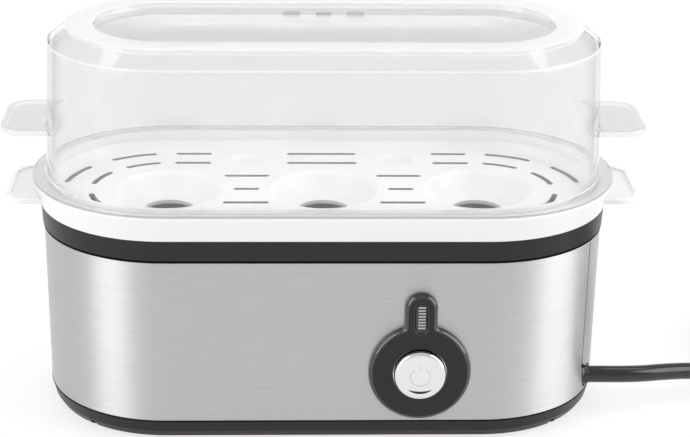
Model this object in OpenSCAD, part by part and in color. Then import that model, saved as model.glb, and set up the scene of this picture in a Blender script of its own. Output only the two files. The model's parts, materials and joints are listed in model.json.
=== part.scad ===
// Electric egg cooker for three eggs, with a lift-off lid, a lift-out tray and a push button.
// Millimetres. Origin on the table under the middle of the body, +X right, -Y front, +Z up.

/* [Body] */
// Distance from the middle to the axis of each rounded end
end_offset = 58; // [45:1:80]
// How far the base is drawn in at its foot
base_tuck = 2.6; // [1:0.1:6]
// Height of the dark band of the base
base_band_h = 6.9; // [5:0.1:12]
// Thickness of the base's floor
base_floor = 2.4; // [1.8:0.1:4]
// Gap between the base and the table
foot_stand = 1.2; // [0.8:0.1:3]
// Radius of a rubber foot
foot_r = 5; // [3:0.5:8]
// Outside radius of the steel sleeve at its bottom edge
sleeve_r = 46; // [44:0.1:52]
// How much wider the sleeve is at its top edge
sleeve_lean = 0.6; // [0:0.1:2]
// Height of the steel sleeve
sleeve_h = 64.1; // [58:0.1:80]
// Thickness of the steel sheet
sleeve_wall = 0.5; // [0.4:0.1:0.8]
// Height of the collar above the steel
collar_h = 7.5; // [6:0.1:12]
// How far the collar stands proud of the steel
collar_proud = 0.5; // [0.2:0.1:1.5]
// Thickness of the moulded walls of base and collar
shell_wall = 2; // [1.5:0.1:3]
// Angle of the sleeve's seam on the right end
seam_angle = -31; // [-40:1:-28]

/* [Egg tray] */
// Height of the tray's rim above the collar
tray_h = 9.7; // [9:0.1:14]
// How far the tray's skirt flares out to its rim
tray_flare = 2.8; // [1:0.1:5]
// Width of the flat rim
rim_w = 5.1; // [4.5:0.1:7]
// Thickness of the tray
tray_wall = 1.8; // [1.4:0.1:2.4]
// Depth of the tray's floor below its rim
floor_drop = 7.1; // [6.5:0.1:8]
// Radius of an egg well
well_r = 19.2; // [16:0.1:21]
// Depth of an egg well
well_depth = 8; // [6:0.1:9]
// Radius of the hole in the bottom of a well
well_hole_r = 9.5; // [6:0.1:11]
// Width of the steam slots
slot_w = 2; // [1.4:0.1:3]
// Distance from the middle to the tip of a tray ear
tray_ear_tip = 117.5; // [110:0.5:140]

/* [Lid] */
// Thickness of the lid's wall
lid_wall = 2; // [1.6:0.1:3]
// Thickness of the lid's flange
lid_flange_t = 1.2; // [1:0.1:2]
// Width of the lid's flange outside its wall
lid_flange_w = 5.2; // [4.6:0.1:7]
// How far the lid's wall leans in up to its shoulder
lid_lean = 2; // [0.5:0.1:4]
// Height of the lid's wall
lid_h = 50.6; // [40:0.1:60]
// Width of the sloping shoulder
shoulder_w = 7.2; // [4:0.1:10]
// Height of the sloping shoulder
shoulder_h = 6; // [4:0.1:9]
// Width of the flat ledge on top
ledge_w = 9.8; // [6:0.1:14]
// Depth of the recess inside the ledge
recess_d = 2.5; // [1:0.1:3.5]
// Distance from the middle to the tip of a lid ear
lid_ear_tip = 118.2; // [110:0.1:140]
// Height of a lid ear above the flange
lid_ear_up = 20.6; // [10:0.1:30]
// Half the depth of the ears of lid and tray
ear_half = 19; // [12:0.5:24]
// Thickness of the ears of lid and tray
ear_t = 2; // [1.5:0.1:3]
// Width of a steam vent
vent_w = 7; // [5:0.1:9]

/* [Controls] */
// Distance of the controls from the middle
panel_x = 34.4; // [25:0.1:38]
// Height of the button's axis above the base's foot
panel_up = 27.5; // [26:0.1:32]
// Radius of the control bezel
bezel_r = 18.7; // [18:0.1:20]
// Thickness of the bezel
bezel_t = 2.8; // [2.4:0.1:4]
// Width of the bezel's sloping edge
bezel_bevel = 1.5; // [0.8:0.1:2]
// Half the width of the bezel's tab
tab_half = 6; // [5:0.1:7]
// Height of the tab's round end above the button's axis
tab_up = 25.2; // [24.5:0.1:30]
// Radius of the button
button_r = 9.5; // [8:0.1:10]
// How far the button stands out of the bezel
button_proud = 2.6; // [2:0.1:4]
// How far the button travels
button_travel = 2.5; // [1.5:0.1:3]
// Width of the indicator lens
lens_w = 4.2; // [3:0.1:5]
// Height of the indicator lens
lens_h = 11.5; // [8:0.1:12]
// Height of the lens above the button's axis
lens_up = 21.8; // [20.5:0.1:23]

/* [Inside] */
// Depth of the water dish
dish_depth = 12.5; // [11:0.1:15]
// Thickness of the dish
dish_wall = 0.8; // [0.6:0.1:1.2]
// Width of the dish's flange
dish_flange_w = 4.8; // [4:0.1:7]
// Thickness of the seal under the dish
seal_t = 1.2; // [0.8:0.1:2]
// Thickness of the heat spreader
spreader_t = 3; // [2.5:0.1:4]
// Radius of the heating element's tube
element_r = 3.25; // [2.5:0.05:4]
// Distance of the element's legs from the middle
element_leg_y = 16; // [13:0.5:19]
// Distance of the dish's studs from the middle
stud_x = 48; // [46:0.5:52]
// Radius of a stud
stud_r = 2; // [1.5:0.1:2.5]
// Radius of a screw post
post_r = 2.9; // [2.6:0.1:3]
// Radius of the self-tapping screws
screw_r = 1.45; // [1.2:0.05:1.6]
// Radius of an insulated lead
lead_r = 0.9; // [0.7:0.1:1.1]

/* [Cord] */
// Diameter of the mains cord
cord_d = 6.6; // [5:0.1:7]
// Height of the cord's exit above the base's foot
cord_up = 12.5; // [11:0.5:14]
// Front to back place of the cord's exit
cord_y = -18; // [-20:0.5:-14]
// Turns in the coil of unseen cord
coil_turns = 3; // [3:1:5]
// Radius of the coil's outer turn
coil_r = 38; // [34:0.5:44]

/* [Hidden] */
$fn = 96;

// Clearances: between moving pieces, and between pieces that stay put
run_gap = 0.3;
snug = 0.1;

// Heights from the table
base_z = foot_stand;
base_top = base_z + base_floor;
sleeve_z = base_z + base_band_h;
collar_z = sleeve_z + sleeve_h;
tray_z = collar_z + collar_h;
rim_z = tray_z + tray_h;
floor_z = rim_z - floor_drop;
lid_z = rim_z + lid_flange_t;
shoulder_z = lid_z + lid_h;
top_z = shoulder_z + shoulder_h;
panel_z = base_z + panel_up;
cord_z = base_z + cord_up;

// Radii of the rounded ends
base_foot_r = sleeve_r - base_tuck;
sleeve_top_r = sleeve_r + sleeve_lean;
base_spigot_r = sleeve_r - sleeve_wall - run_gap;
collar_r = sleeve_top_r + collar_proud;
collar_skirt_r = sleeve_top_r - sleeve_wall - run_gap - sleeve_lean / 4;
tray_r = collar_r + 0.4;
rim_r = tray_r + tray_flare;
rim_in = rim_r - rim_w;
lid_r = rim_r - lid_flange_w;
lean_angle = atan(sleeve_lean / sleeve_h);

// Collar: seat of the dish, skirt and posts
collar_in = tray_r - 3.9;
dish_flange_r = collar_in - 0.6;
dish_r = dish_flange_r - dish_flange_w;
shelf_in = dish_r + 0.4;
shelf_t = 2.2;
shelf_z = collar_z + 0.2;
shelf_top = shelf_z + shelf_t;
skirt_drop = 9;
post_ring = collar_skirt_r - shell_wall - post_r + 0.65;
post_angle = 50;
post_x = end_offset + post_ring * cos(post_angle);
post_y = post_ring * sin(post_angle);
pad_t = 3;
pad_top = base_top + pad_t;
head_r = 2.8;
head_h = 2;
head_sink = 2.6;

// Dish and what hangs under it
dish_top = shelf_top + seal_t + dish_wall;
dish_floor = dish_top - dish_depth;
spreader_z = dish_floor - dish_wall - spreader_t;
spreader_half = 34;
spreader_r = 26;
element_z = spreader_z - 1;
element_bend_x = -24;
element_end_x = 46;
pin_len = 10;
pin_r = 1.2;
clamp_t = 1.5;
clamp_z = spreader_z - 8.3;
clamp_w = 10;
nut_h = 3.2;
tag_t = 0.8;
thermo_cap_r = 8;
thermo_cap_h = 2.4;
thermo_flange_z = spreader_z - thermo_cap_h - 0.9;
thermo_body_z = spreader_z - 10.5;
thermo_tab = 8;
thermo_screw_x = 13;
fuse_x = 27;
fuse_r = 2.1;
fuse_half = 5.5;
fuse_z = spreader_z - fuse_r - 0.3;

// Control panel, in its own frame: x right, y up, z out of the steel
panel_r = sleeve_r + sleeve_lean * (panel_z - sleeve_z) / sleeve_h;
panel_hole_r = bezel_r - 1.5;
guide_r = button_r + 2.3;
guide_in = button_r + 1.4;
guide_back = -9;
guide_step = 0.8;
flange_r = guide_in - 0.4;
flange_back = -1.6;
boss_r = 2.1;
boss_ring = panel_hole_r - boss_r - snug;
boss_angles = [-60, -120];
carrier_t = 2;
carrier_z = -sleeve_wall - carrier_t;
carrier_r = bezel_r + 1.3;
arm_x = 12.8;
arm_t = 1.6;
seat_z = -18;
switch_flange = 1.5;
switch_front = seat_z + carrier_t + switch_flange;
switch_back = -34;
tab_back = -40;
tab_x = 4;
plunger_r = 2.5;
plunger_end = -20;
spring_r = 4.2;
spring_wire = 0.4;
spring_turns = 6;
lamp_z = -7;
lamp_r = 2.2;
lamp_half = 5;
holder_half = 6.2;
holder_back = -12;

// Terminal block on the base's floor
block_x = 44;
block_y = -4;
block_l = 18;
block_w = 24;
block_h = 14;
pole_pitch = 8;
pole_z = base_top + 5.4;

// Cord: exit, clamp, free stretch and coil
cord_r = cord_d / 2;
grommet_r = cord_r + 1.2;
notch_half = grommet_r + 0.2;
notch_tip_z = sleeve_z + 12.5;
exit_x = end_offset + sqrt(pow(sleeve_r, 2) - pow(cord_y, 2));
grommet_out = exit_x + 0.4;
tower_from = -42;
tower_span = 32;
tower_top = notch_tip_z + 2;
clamp_x = end_offset + sleeve_r - 28;
clamp_half = 4;
clamp_screw_y = 8;
sheath_end = end_offset + sleeve_r - 37;
coil_x = 202;
coil_y = 34;
coil_low = cord_r + 0.7;
coil_pitch = cord_d + 0.7;
coil_lift = cord_d + 0.6;
coil_high = coil_low + coil_lift;
tie_t = 0.5;
lead_stop = 196;
plug_x = 250;
plug_y = coil_y - coil_r;
plug_entry = 213;
lead_route = [[112, -17.9, 13.6], [121, -16.3, 13], [132, -12.6, 12], [142, -9.4, 10.8],
  [154, -6.6, 8.9], [168, -4.8, 6.5], [181, -4.1, 4.6]];

function unit(v) = v / norm(v);
function along(p) = [for (i = [0:len(p) - 1])
  unit(p[min(i + 1, len(p) - 1)] - p[max(i - 1, 0)])];
function first_normal(t) = unit(cross(t, abs(t[2]) < 0.9 ? [0, 0, 1] : [1, 0, 0]));
function normals(t) = [for (i = 0, n = first_normal(t[0]); i < len(t); i = i + 1,
  n = i < len(t) ? unit(n - t[i] * (n * t[i])) : n) n];
function spline(a, b, c, d, u) = b + 0.5 * u * (c - a + u * (2 * a - 5 * b + 4 * c - d
  + u * (3 * (b - c) + d - a)));
function smooth(p, steps) = concat([for (i = [0:len(p) - 2]) for (k = [0:steps - 1])
  spline(p[max(i - 1, 0)], p[i], p[i + 1], p[min(i + 2, len(p) - 1)], k / steps)],
  [p[len(p) - 1]]);

// Coil: the lower layer spirals in, the tube climbs in half a turn, the upper layer spirals out
function coil_in(q) = coil_r - coil_pitch * min(q, coil_turns - q);
function coil_rise(q) = min(max((q - coil_turns / 2) * 2 + 0.5, 0), 1);
function coil_point(q) = [coil_x + coil_in(q) * sin(360 * q), coil_y - coil_in(q) * cos(360 * q),
  coil_low + coil_lift * coil_rise(q)];
coil_line = [for (i = [0:24 * coil_turns]) coil_point(i / 24)];
coil_path = concat([[lead_stop, plug_y, coil_low]], coil_line, [[plug_entry, plug_y, coil_high]]);
coil_gap = min([for (i = [0:len(coil_line) - 1]) for (j = [i + 13:1:len(coil_line) - 1])
  norm(coil_line[i] - coil_line[j])]) - cord_d;

// Points where leads are joined, in the frame of the part
function on_panel_point(p) = [panel_x + p[0],
  -panel_r + p[1] * -sin(lean_angle) - p[2] * cos(lean_angle),
  panel_z + p[1] * cos(lean_angle) - p[2] * sin(lean_angle)];
live_tab = on_panel_point([-tab_x, 0, tab_back]);
switched_tab = on_panel_point([tab_x, 0, tab_back]);
lamp_tab = on_panel_point([tab_x, 2.4, tab_back + 3]);
block_in = block_x + block_l / 2;
block_out = block_x - block_l / 2;
pole_y = [for (i = [-1:1]) block_y + i * pole_pitch];
thermo_end = thermo_body_z - thermo_tab;
pin_tip = element_end_x + pin_len;

module plan(r, half = end_offset) {
  for (s = [-1, 1]) translate([s * half, 0]) circle(r);
  square([2 * half, 2 * r], center = true);
}

// Sweeps a profile of radius and height round the long plan of the body
module around() {
  for (turn = [0, 180]) rotate([0, 0, turn]) {
    translate([end_offset, 0, 0]) rotate([0, 0, -90]) rotate_extrude(angle = 180) children();
    translate([-end_offset, 0, 0]) rotate([90, 0, 90]) linear_extrude(2 * end_offset) children();
  }
}

module tube(p, r, sides) {
  t = along(p);
  n = normals(t);
  last = (len(p) - 1) * sides;
  points = [for (i = [0:len(p) - 1]) for (k = [0:sides - 1])
    p[i] + r * (cos(360 * k / sides) * n[i] + sin(360 * k / sides) * cross(t[i], n[i]))];
  walls = [for (i = [0:len(p) - 2]) for (k = [0:sides - 1])
    let (a = i * sides + k, b = i * sides + (k + 1) % sides)
    each [[a, a + sides, b], [b, a + sides, b + sides]]];
  ends = [for (k = [1:sides - 2]) each [[0, k, k + 1], [last, last + k + 1, last + k]]];
  polyhedron(points, concat(walls, ends));
}

// A lead along p whose first and last stretch stay straight, square to what they meet
module lead(p) {
  tube(concat([p[0]], smooth([for (i = [1:len(p) - 2]) p[i]], 3), [p[len(p) - 1]]), lead_r, 8);
}

module on_panel() {
  translate([panel_x, -panel_r, panel_z]) rotate([90 + lean_angle, 0, 0]) children();
}

// A bar with round ends, long in x
module slot2d(len, w) {
  square([len - w, w], center = true);
  for (s = [-1, 1]) translate([s * (len - w) / 2, 0]) circle(w / 2, $fn = 32);
}

module ear(tip, inner_r, corner = 9) {
  linear_extrude(ear_t) difference() {
    for (s = [-1, 1]) {
      translate([s * (end_offset + tip - corner) / 2, 0])
        square([tip - corner - end_offset, 2 * ear_half], center = true);
      translate([s * (end_offset + tip) / 2, 0])
        square([tip - end_offset, 2 * (ear_half - corner)], center = true);
      for (e = [-1, 1]) translate([s * (tip - corner), e * (ear_half - corner)]) circle(corner);
    }
    plan(inner_r);
  }
}

module at_posts() {
  for (sx = [-1, 1]) for (sy = [-1, 1]) translate([sx * post_x, sy * post_y, 0]) children();
}

module at_feet() {
  for (sx = [-1, 1]) for (sy = [-1, 1])
    translate([sx * (end_offset + 6), sy * (base_foot_r - 14), 0]) children();
}

module cord_hole(r) {
  translate([end_offset, cord_y, cord_z]) rotate([0, 90, 0]) cylinder(r = r, h = sleeve_r + 5);
}

module base_plate() color("#3b3b3d") difference() {
  union() {
    around() polygon([[0, base_z], [base_foot_r, base_z], [base_foot_r + 1.6, base_z + 2.6],
      [sleeve_r, sleeve_z], [base_spigot_r, sleeve_z], [base_spigot_r, sleeve_z + 6],
      [base_spigot_r - shell_wall, sleeve_z + 6], [base_spigot_r - shell_wall, base_top],
      [0, base_top]]);
    at_posts() translate([0, 0, base_top]) cylinder(r = post_r + 0.4, h = pad_t);
    translate([end_offset, 0, base_top]) rotate([0, 0, tower_from])
      rotate_extrude(angle = tower_span)
      translate([base_spigot_r - shell_wall - 0.3, 0]) square([shell_wall + 0.1, tower_top - base_top]);
    for (s = [-1, 1]) translate([clamp_x, cord_y + s * clamp_screw_y, base_top])
      cylinder(r = 3, h = cord_z - base_top);
    translate([clamp_x - clamp_half, cord_y - 3, base_top])
      cube([2 * clamp_half, 6, cord_z - base_top - cord_r / 2]);
    for (s = [-1, 1]) translate([block_x - 6, block_y + s * (block_w / 2 + 0.8 + snug) - 0.8,
      base_top]) cube([12, 1.6, 8]);
  }
  at_posts() {
    translate([0, 0, base_z - 1]) cylinder(r = head_r + 0.3, h = head_sink + 1);
    cylinder(r = screw_r + 0.3, h = pad_top + 1);
  }
  at_posts() translate([0, 0, pad_top]) cylinder(r = post_r + run_gap, h = sleeve_h);
  at_feet() cylinder(r = foot_r + 0.2, h = base_z + 1.4);
  on_panel() translate([0, 0, -6]) cylinder(r = carrier_r + run_gap, h = 5.8);
  cord_hole(grommet_r + snug);
  translate([clamp_x - 10, cord_y, cord_z]) rotate([0, 90, 0]) cylinder(r = cord_r + snug, h = 20);
  for (s = [-1, 1]) translate([clamp_x, cord_y + s * clamp_screw_y, base_top])
    cylinder(r = screw_r + 0.05, h = cord_z);
}

module rubber_feet() color("#202020") at_feet() {
  cylinder(r1 = foot_r - 0.6, r2 = foot_r, h = 0.6);
  translate([0, 0, 0.6]) cylinder(r = foot_r, h = base_z + 0.8);
}

module base_screws() color("#b8bcc0") at_posts() translate([0, 0, base_z + head_sink]) {
  translate([0, 0, -head_h]) cylinder(r = head_r, h = head_h);
  cylinder(r = screw_r, h = 13);
}

// The notch for the cord, as a drop whose point runs into the seam
module notch2d() {
  tip_y = sleeve_r * sin(seam_angle);
  translate([cord_y, cord_z]) circle(notch_half);
  polygon([[cord_y + notch_half, cord_z], [tip_y + 0.3, notch_tip_z], [tip_y - 0.3, notch_tip_z],
    [cord_y - notch_half, cord_z]]);
}

module steel_sleeve() color("#c3c3c1") difference() {
  around() polygon([[sleeve_r - sleeve_wall, sleeve_z], [sleeve_r, sleeve_z],
    [sleeve_top_r, collar_z], [sleeve_top_r - sleeve_wall, collar_z]]);
  on_panel() translate([0, 0, -5]) {
    cylinder(r = panel_hole_r, h = 10);
    translate([0, lens_up, 0]) linear_extrude(10) rotate(90) slot2d(lens_h + 1, lens_w + 1);
  }
  translate([end_offset, 0, 0]) rotate([90, 0, 90]) linear_extrude(sleeve_r + 10) notch2d();
  translate([end_offset, 0, notch_tip_z - 1]) rotate([0, 0, seam_angle])
    translate([sleeve_r - 5, -0.25, 0]) cube([15, 0.5, sleeve_h]);
}

module seam_strip() color("#a9a9a7") translate([end_offset, 0, 0]) rotate([0, 0, seam_angle - 5])
  rotate_extrude(angle = 10) {
  low = tower_top + 0.5;
  high = collar_z - skirt_drop - 0.5;
  r_low = sleeve_r - sleeve_wall - snug + sleeve_lean * (low - sleeve_z) / sleeve_h;
  r_high = sleeve_r - sleeve_wall - snug + sleeve_lean * (high - sleeve_z) / sleeve_h;
  polygon([[r_low - 0.5, low], [r_low, low], [r_high, high], [r_high - 0.5, high]]);
}

module upper_collar() color("#3b3b3d") difference() {
  union() {
    around() polygon([[collar_r, collar_z], [tray_r, tray_z], [collar_in, tray_z],
      [collar_in, shelf_top], [shelf_in, shelf_top], [shelf_in, shelf_z],
      [collar_skirt_r - shell_wall, shelf_z], [collar_skirt_r - shell_wall, collar_z - skirt_drop],
      [collar_skirt_r, collar_z - skirt_drop], [collar_skirt_r, collar_z]]);
    at_posts() translate([0, 0, pad_top]) cylinder(r = post_r, h = shelf_z - pad_top + 1);
  }
  at_posts() translate([0, 0, pad_top - 1]) cylinder(r = screw_r + 0.05, h = 13);
  on_panel() translate([-tab_half - 1 - run_gap, 0, carrier_z - run_gap])
    cube([2 * (tab_half + 1 + run_gap), tab_up + tab_half + run_gap, carrier_t + run_gap + 2]);
}

module water_dish() color("#cfcfcd") {
  around() polygon([[0, dish_floor - dish_wall], [dish_r - 2.6, dish_floor - dish_wall],
    [dish_r - 1, dish_floor + 1], [dish_r, dish_top - dish_wall],
    [dish_flange_r, dish_top - dish_wall], [dish_flange_r, dish_top], [dish_r - dish_wall, dish_top],
    [dish_r - 1 - dish_wall, dish_floor + 1.2], [dish_r - 2.8, dish_floor], [0, dish_floor]]);
  for (s = [-1, 1]) translate([s * stud_x, 0, clamp_z - 6])
    cylinder(r = stud_r, h = dish_floor - clamp_z + 6 - dish_wall / 2);
}

module dish_seal() color("#b24a3a") translate([0, 0, shelf_top]) linear_extrude(seal_t)
  difference() {
  plan(dish_flange_r);
  plan(dish_r + 0.5);
}

// The element's bent tube, also used to cut its groove
module element_path(r, end_x) {
  for (s = [-1, 1]) translate([element_bend_x, s * element_leg_y, element_z]) rotate([0, 90, 0])
    cylinder(r = r, h = end_x - element_bend_x);
  translate([element_bend_x, 0, element_z]) rotate([0, 0, 90]) rotate_extrude(angle = 180)
    translate([element_leg_y, 0]) circle(r);
}

module heat_spreader() color("#b9bcc0") difference() {
  translate([0, 0, spreader_z]) linear_extrude(spreader_t) plan(spreader_r, spreader_half);
  element_path(element_r + snug, pin_tip + 10);
  for (s = [-1, 1]) {
    translate([s * stud_x, 0, spreader_z - 1]) cylinder(r = stud_r + 0.3, h = spreader_t + 2);
    translate([s * thermo_screw_x, 0, spreader_z - 1]) cylinder(r = screw_r + 0.05, h = 3.3);
  }
}

module heating_element() color("#7d7f80") {
  element_path(element_r, element_end_x);
  for (s = [-1, 1]) translate([element_end_x, s * element_leg_y, element_z]) rotate([0, 90, 0])
    cylinder(r = pin_r, h = pin_len);
}

module dish_clamps() color("#a7a9ab") for (s = [-1, 1]) difference() {
  leg_y = dish_r + 0.8;
  foot_y = collar_skirt_r - shell_wall - 0.4;
  translate([s * stud_x - clamp_w / 2, 0, 0]) rotate([90, 0, 90]) linear_extrude(clamp_w) {
    translate([-leg_y - clamp_t, clamp_z]) square([2 * (leg_y + clamp_t), clamp_t]);
    for (m = [0, 1]) mirror([m, 0]) {
      translate([leg_y, clamp_z]) square([clamp_t, shelf_z - clamp_z]);
      translate([leg_y, shelf_z - clamp_t]) square([foot_y - leg_y, clamp_t]);
    }
  }
  translate([s * stud_x, 0, clamp_z - 1]) cylinder(r = stud_r + 0.2, h = clamp_t + 2);
}

module dish_nuts() color("#b8bcc0") for (s = [-1, 1])
  translate([s * stud_x, 0, clamp_z - nut_h - (s > 0 ? tag_t : 0)]) difference() {
  cylinder(r = 2 * stud_r, h = nut_h, $fn = 6);
  translate([0, 0, -1]) cylinder(r = stud_r + 0.05, h = nut_h + 2);
}

module earth_tag() color("#d0b46a") translate([stud_x, 0, clamp_z - tag_t]) linear_extrude(tag_t)
  difference() {
  union() {
    circle(2 * stud_r + 0.4);
    translate([-10, -2]) square([8, 4]);
  }
  circle(stud_r + 0.2);
}

module thermostat() color("#55504a") {
  difference() {
    translate([0, 0, thermo_flange_z + 0.45]) cube([2 * thermo_screw_x + 6, 12, 0.9], center = true);
    for (s = [-1, 1]) translate([s * thermo_screw_x, 0, thermo_flange_z - 1])
      cylinder(r = screw_r + 0.2, h = 3);
  }
  translate([0, 0, thermo_body_z]) cylinder(r = thermo_cap_r - 0.6, h = spreader_z - thermo_body_z - 1);
  translate([0, 0, spreader_z - thermo_cap_h]) cylinder(r = thermo_cap_r, h = thermo_cap_h);
  for (s = [-1, 1]) translate([s * 5, 0, thermo_body_z - thermo_tab / 2])
    cube([0.8, 5, thermo_tab], center = true);
}

module thermostat_screws() color("#b8bcc0") for (s = [-1, 1])
  translate([s * thermo_screw_x, 0, thermo_flange_z]) {
  translate([0, 0, -1.6]) cylinder(r = 2.5, h = 1.6);
  cylinder(r = screw_r, h = thermo_cap_h + 2.6);
}

module thermal_fuse() color("#d8d2c4") translate([fuse_x, fuse_half, fuse_z]) rotate([90, 0, 0])
  cylinder(r = fuse_r, h = 2 * fuse_half);

module fuse_clip() color("#a7a9ab") translate([fuse_x, 3, fuse_z]) rotate([90, 0, 0])
  linear_extrude(6) {
  top = spreader_z - fuse_z;
  difference() {
    union() {
      circle(fuse_r + 0.8);
      translate([-fuse_r - 0.8, 0]) square([2 * fuse_r + 1.6, top]);
      translate([-fuse_r - 5, top - 0.8]) square([2 * fuse_r + 10, 0.8]);
    }
    circle(fuse_r + snug);
    translate([-fuse_r - snug, 0]) square([2 * (fuse_r + snug), top + 1]);
  }
}

module control_bezel() color("#3b3b3d") on_panel() difference() {
  union() {
    edge = bezel_t - bezel_bevel;
    cylinder(r = bezel_r, h = edge);
    translate([0, 0, edge]) cylinder(r1 = bezel_r, r2 = bezel_r - bezel_bevel, h = bezel_bevel);
    translate([0, tab_up, 0]) cylinder(r = tab_half, h = edge);
    translate([0, tab_up, edge])
      cylinder(r1 = tab_half, r2 = tab_half - bezel_bevel, h = bezel_bevel);
    translate([0, tab_up, 0]) rotate([90, 0, 0]) linear_extrude(tab_up) polygon([[-tab_half, 0],
      [tab_half, 0], [tab_half, edge], [tab_half - bezel_bevel, bezel_t],
      [bezel_bevel - tab_half, bezel_t], [-tab_half, edge]]);
    translate([0, 0, guide_back]) cylinder(r = guide_r, h = 1 - guide_back);
    for (a = boss_angles) rotate([0, 0, a]) translate([boss_ring, 0, carrier_z + 0.2])
      cylinder(r = boss_r, h = 1 - carrier_z);
  }
  translate([0, 0, guide_back - 1]) cylinder(r = guide_in, h = guide_step - guide_back + 1);
  cylinder(r = button_r + run_gap, h = bezel_t + 1);
  translate([0, lens_up, -1]) linear_extrude(bezel_t + 2) rotate(90)
    slot2d(lens_h + 2 * snug, lens_w + 2 * snug);
  for (a = boss_angles) rotate([0, 0, a]) translate([boss_ring, 0, carrier_z])
    cylinder(r = screw_r - 0.4, h = bezel_t - carrier_z - 1);
}

module bezel_screws() color("#b8bcc0") on_panel() for (a = boss_angles)
  rotate([0, 0, a]) translate([boss_ring, 0, carrier_z]) {
  translate([0, 0, -1.6]) cylinder(r = boss_r + 0.8, h = 1.6);
  cylinder(r = screw_r - 0.45, h = bezel_t - carrier_z - 1.2);
}

module indicator_lens() color("#e8e6e0") on_panel() translate([0, lens_up, 0]) {
  translate([0, 0, carrier_z - 1]) linear_extrude(bezel_t - carrier_z + 1.2) rotate(90)
    slot2d(lens_h, lens_w);
  for (y = [-3:1:3]) translate([0, y, bezel_t + 0.3]) cube([lens_w - 1, 0.5, 0.6], center = true);
}

module lamp_holder() color("#d9d5cc") on_panel() translate([0, lens_up, 0]) difference() {
  translate([-5, -holder_half, holder_back]) cube([10, 2 * holder_half, carrier_z - holder_back]);
  translate([-lamp_r - 0.3, -lens_h / 2 - 0.2, lamp_z - lamp_r - 0.3])
    cube([2 * lamp_r + 0.6, lens_h + 0.4, 20]);
}

module indicator_lamp() color("#e6b48a") on_panel() translate([0, lens_up + lamp_half, lamp_z])
  rotate([90, 0, 0]) cylinder(r = lamp_r, h = 2 * lamp_half);

module switch_carrier() color("#2c2c2e") on_panel() difference() {
  union() {
    translate([0, 0, carrier_z]) cylinder(r = carrier_r, h = carrier_t);
    translate([-tab_half - 1, 0, carrier_z]) cube([2 * tab_half + 2, tab_up + tab_half, carrier_t]);
    for (s = [-1, 1]) translate([s * (arm_x + arm_t / 2), 0, (seat_z + carrier_z + 1) / 2])
      cube([arm_t, 10, carrier_z + 1 - seat_z], center = true);
    translate([0, 0, seat_z + carrier_t / 2])
      cube([2 * (arm_x + arm_t), 17, carrier_t], center = true);
  }
  translate([0, 0, carrier_z - 1]) cylinder(r = guide_r + 0.3, h = carrier_t + 2);
  translate([0, lens_up, carrier_z - 1]) linear_extrude(carrier_t + 2) rotate(90)
    slot2d(lens_h + 0.6, lens_w + 0.6);
  for (a = boss_angles) rotate([0, 0, a]) translate([boss_ring, 0, carrier_z - 1])
    cylinder(r = boss_r + 0.2, h = carrier_t + 2);
  translate([0, 0, seat_z]) cube([14.2, 12.2, 10], center = true);
}

module push_switch() color("#1f1f20") on_panel() difference() {
  union() {
    translate([0, 0, switch_front - switch_flange / 2]) cube([18, 15, switch_flange], center = true);
    translate([0, 0, (switch_front + switch_back) / 2])
      cube([14, 12, switch_front - switch_back], center = true);
    for (s = [-1, 1]) translate([s * tab_x, 0, (tab_back + switch_back + 1) / 2])
      cube([0.8, 4.8, switch_back + 1 - tab_back], center = true);
  }
  translate([0, 0, plunger_end - button_travel - 1.5])
    cylinder(r = plunger_r + 0.2, h = 20);
}

// The spring's wire, one unbroken tube with eight rings a turn
module button_spring() color("#c9c9c9") on_panel() {
  low = switch_front + spring_wire + snug;
  high = flange_back - spring_wire - snug;
  steps = 8 * spring_turns;
  tube([for (i = [0:steps]) [spring_r * cos(45 * i), spring_r * sin(45 * i),
    low + (high - low) * i / steps]], spring_wire, 6);
}

module button_cap() color("#dfe0e0") on_panel() rotate_extrude() {
  top = bezel_t + button_proud;
  polygon([[0, flange_back], [flange_r, flange_back], [flange_r, guide_step - snug],
    [button_r, guide_step - snug], [button_r, top - 1.2], [button_r - 0.3, top - 0.6],
    [button_r - 1, top - 0.25], [button_r - 4, top], [0, top + 0.15]]);
}

module switch_plunger() color("#efefec") on_panel() translate([0, 0, plunger_end])
  cylinder(r = plunger_r, h = flange_back - plunger_end);

module terminal_block() color("#e4e2da") difference() {
  translate([block_x - block_l / 2, block_y - block_w / 2, base_top]) cube([block_l, block_w, block_h]);
  for (y = pole_y) {
    translate([block_out - 1, y, pole_z]) rotate([0, 90, 0]) cylinder(r = lead_r + 0.3, h = block_l + 2);
    for (s = [-1, 1]) translate([block_x + s * 4.5, y, pole_z + 1.6])
      cylinder(r = 1.7, h = block_h);
  }
}

module terminal_screws() color("#b8bcc0") for (y = pole_y) for (s = [-1, 1])
  translate([block_x + s * 4.5, y, pole_z + 1.7]) cylinder(r = 1.6, h = block_h - 8);

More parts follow.
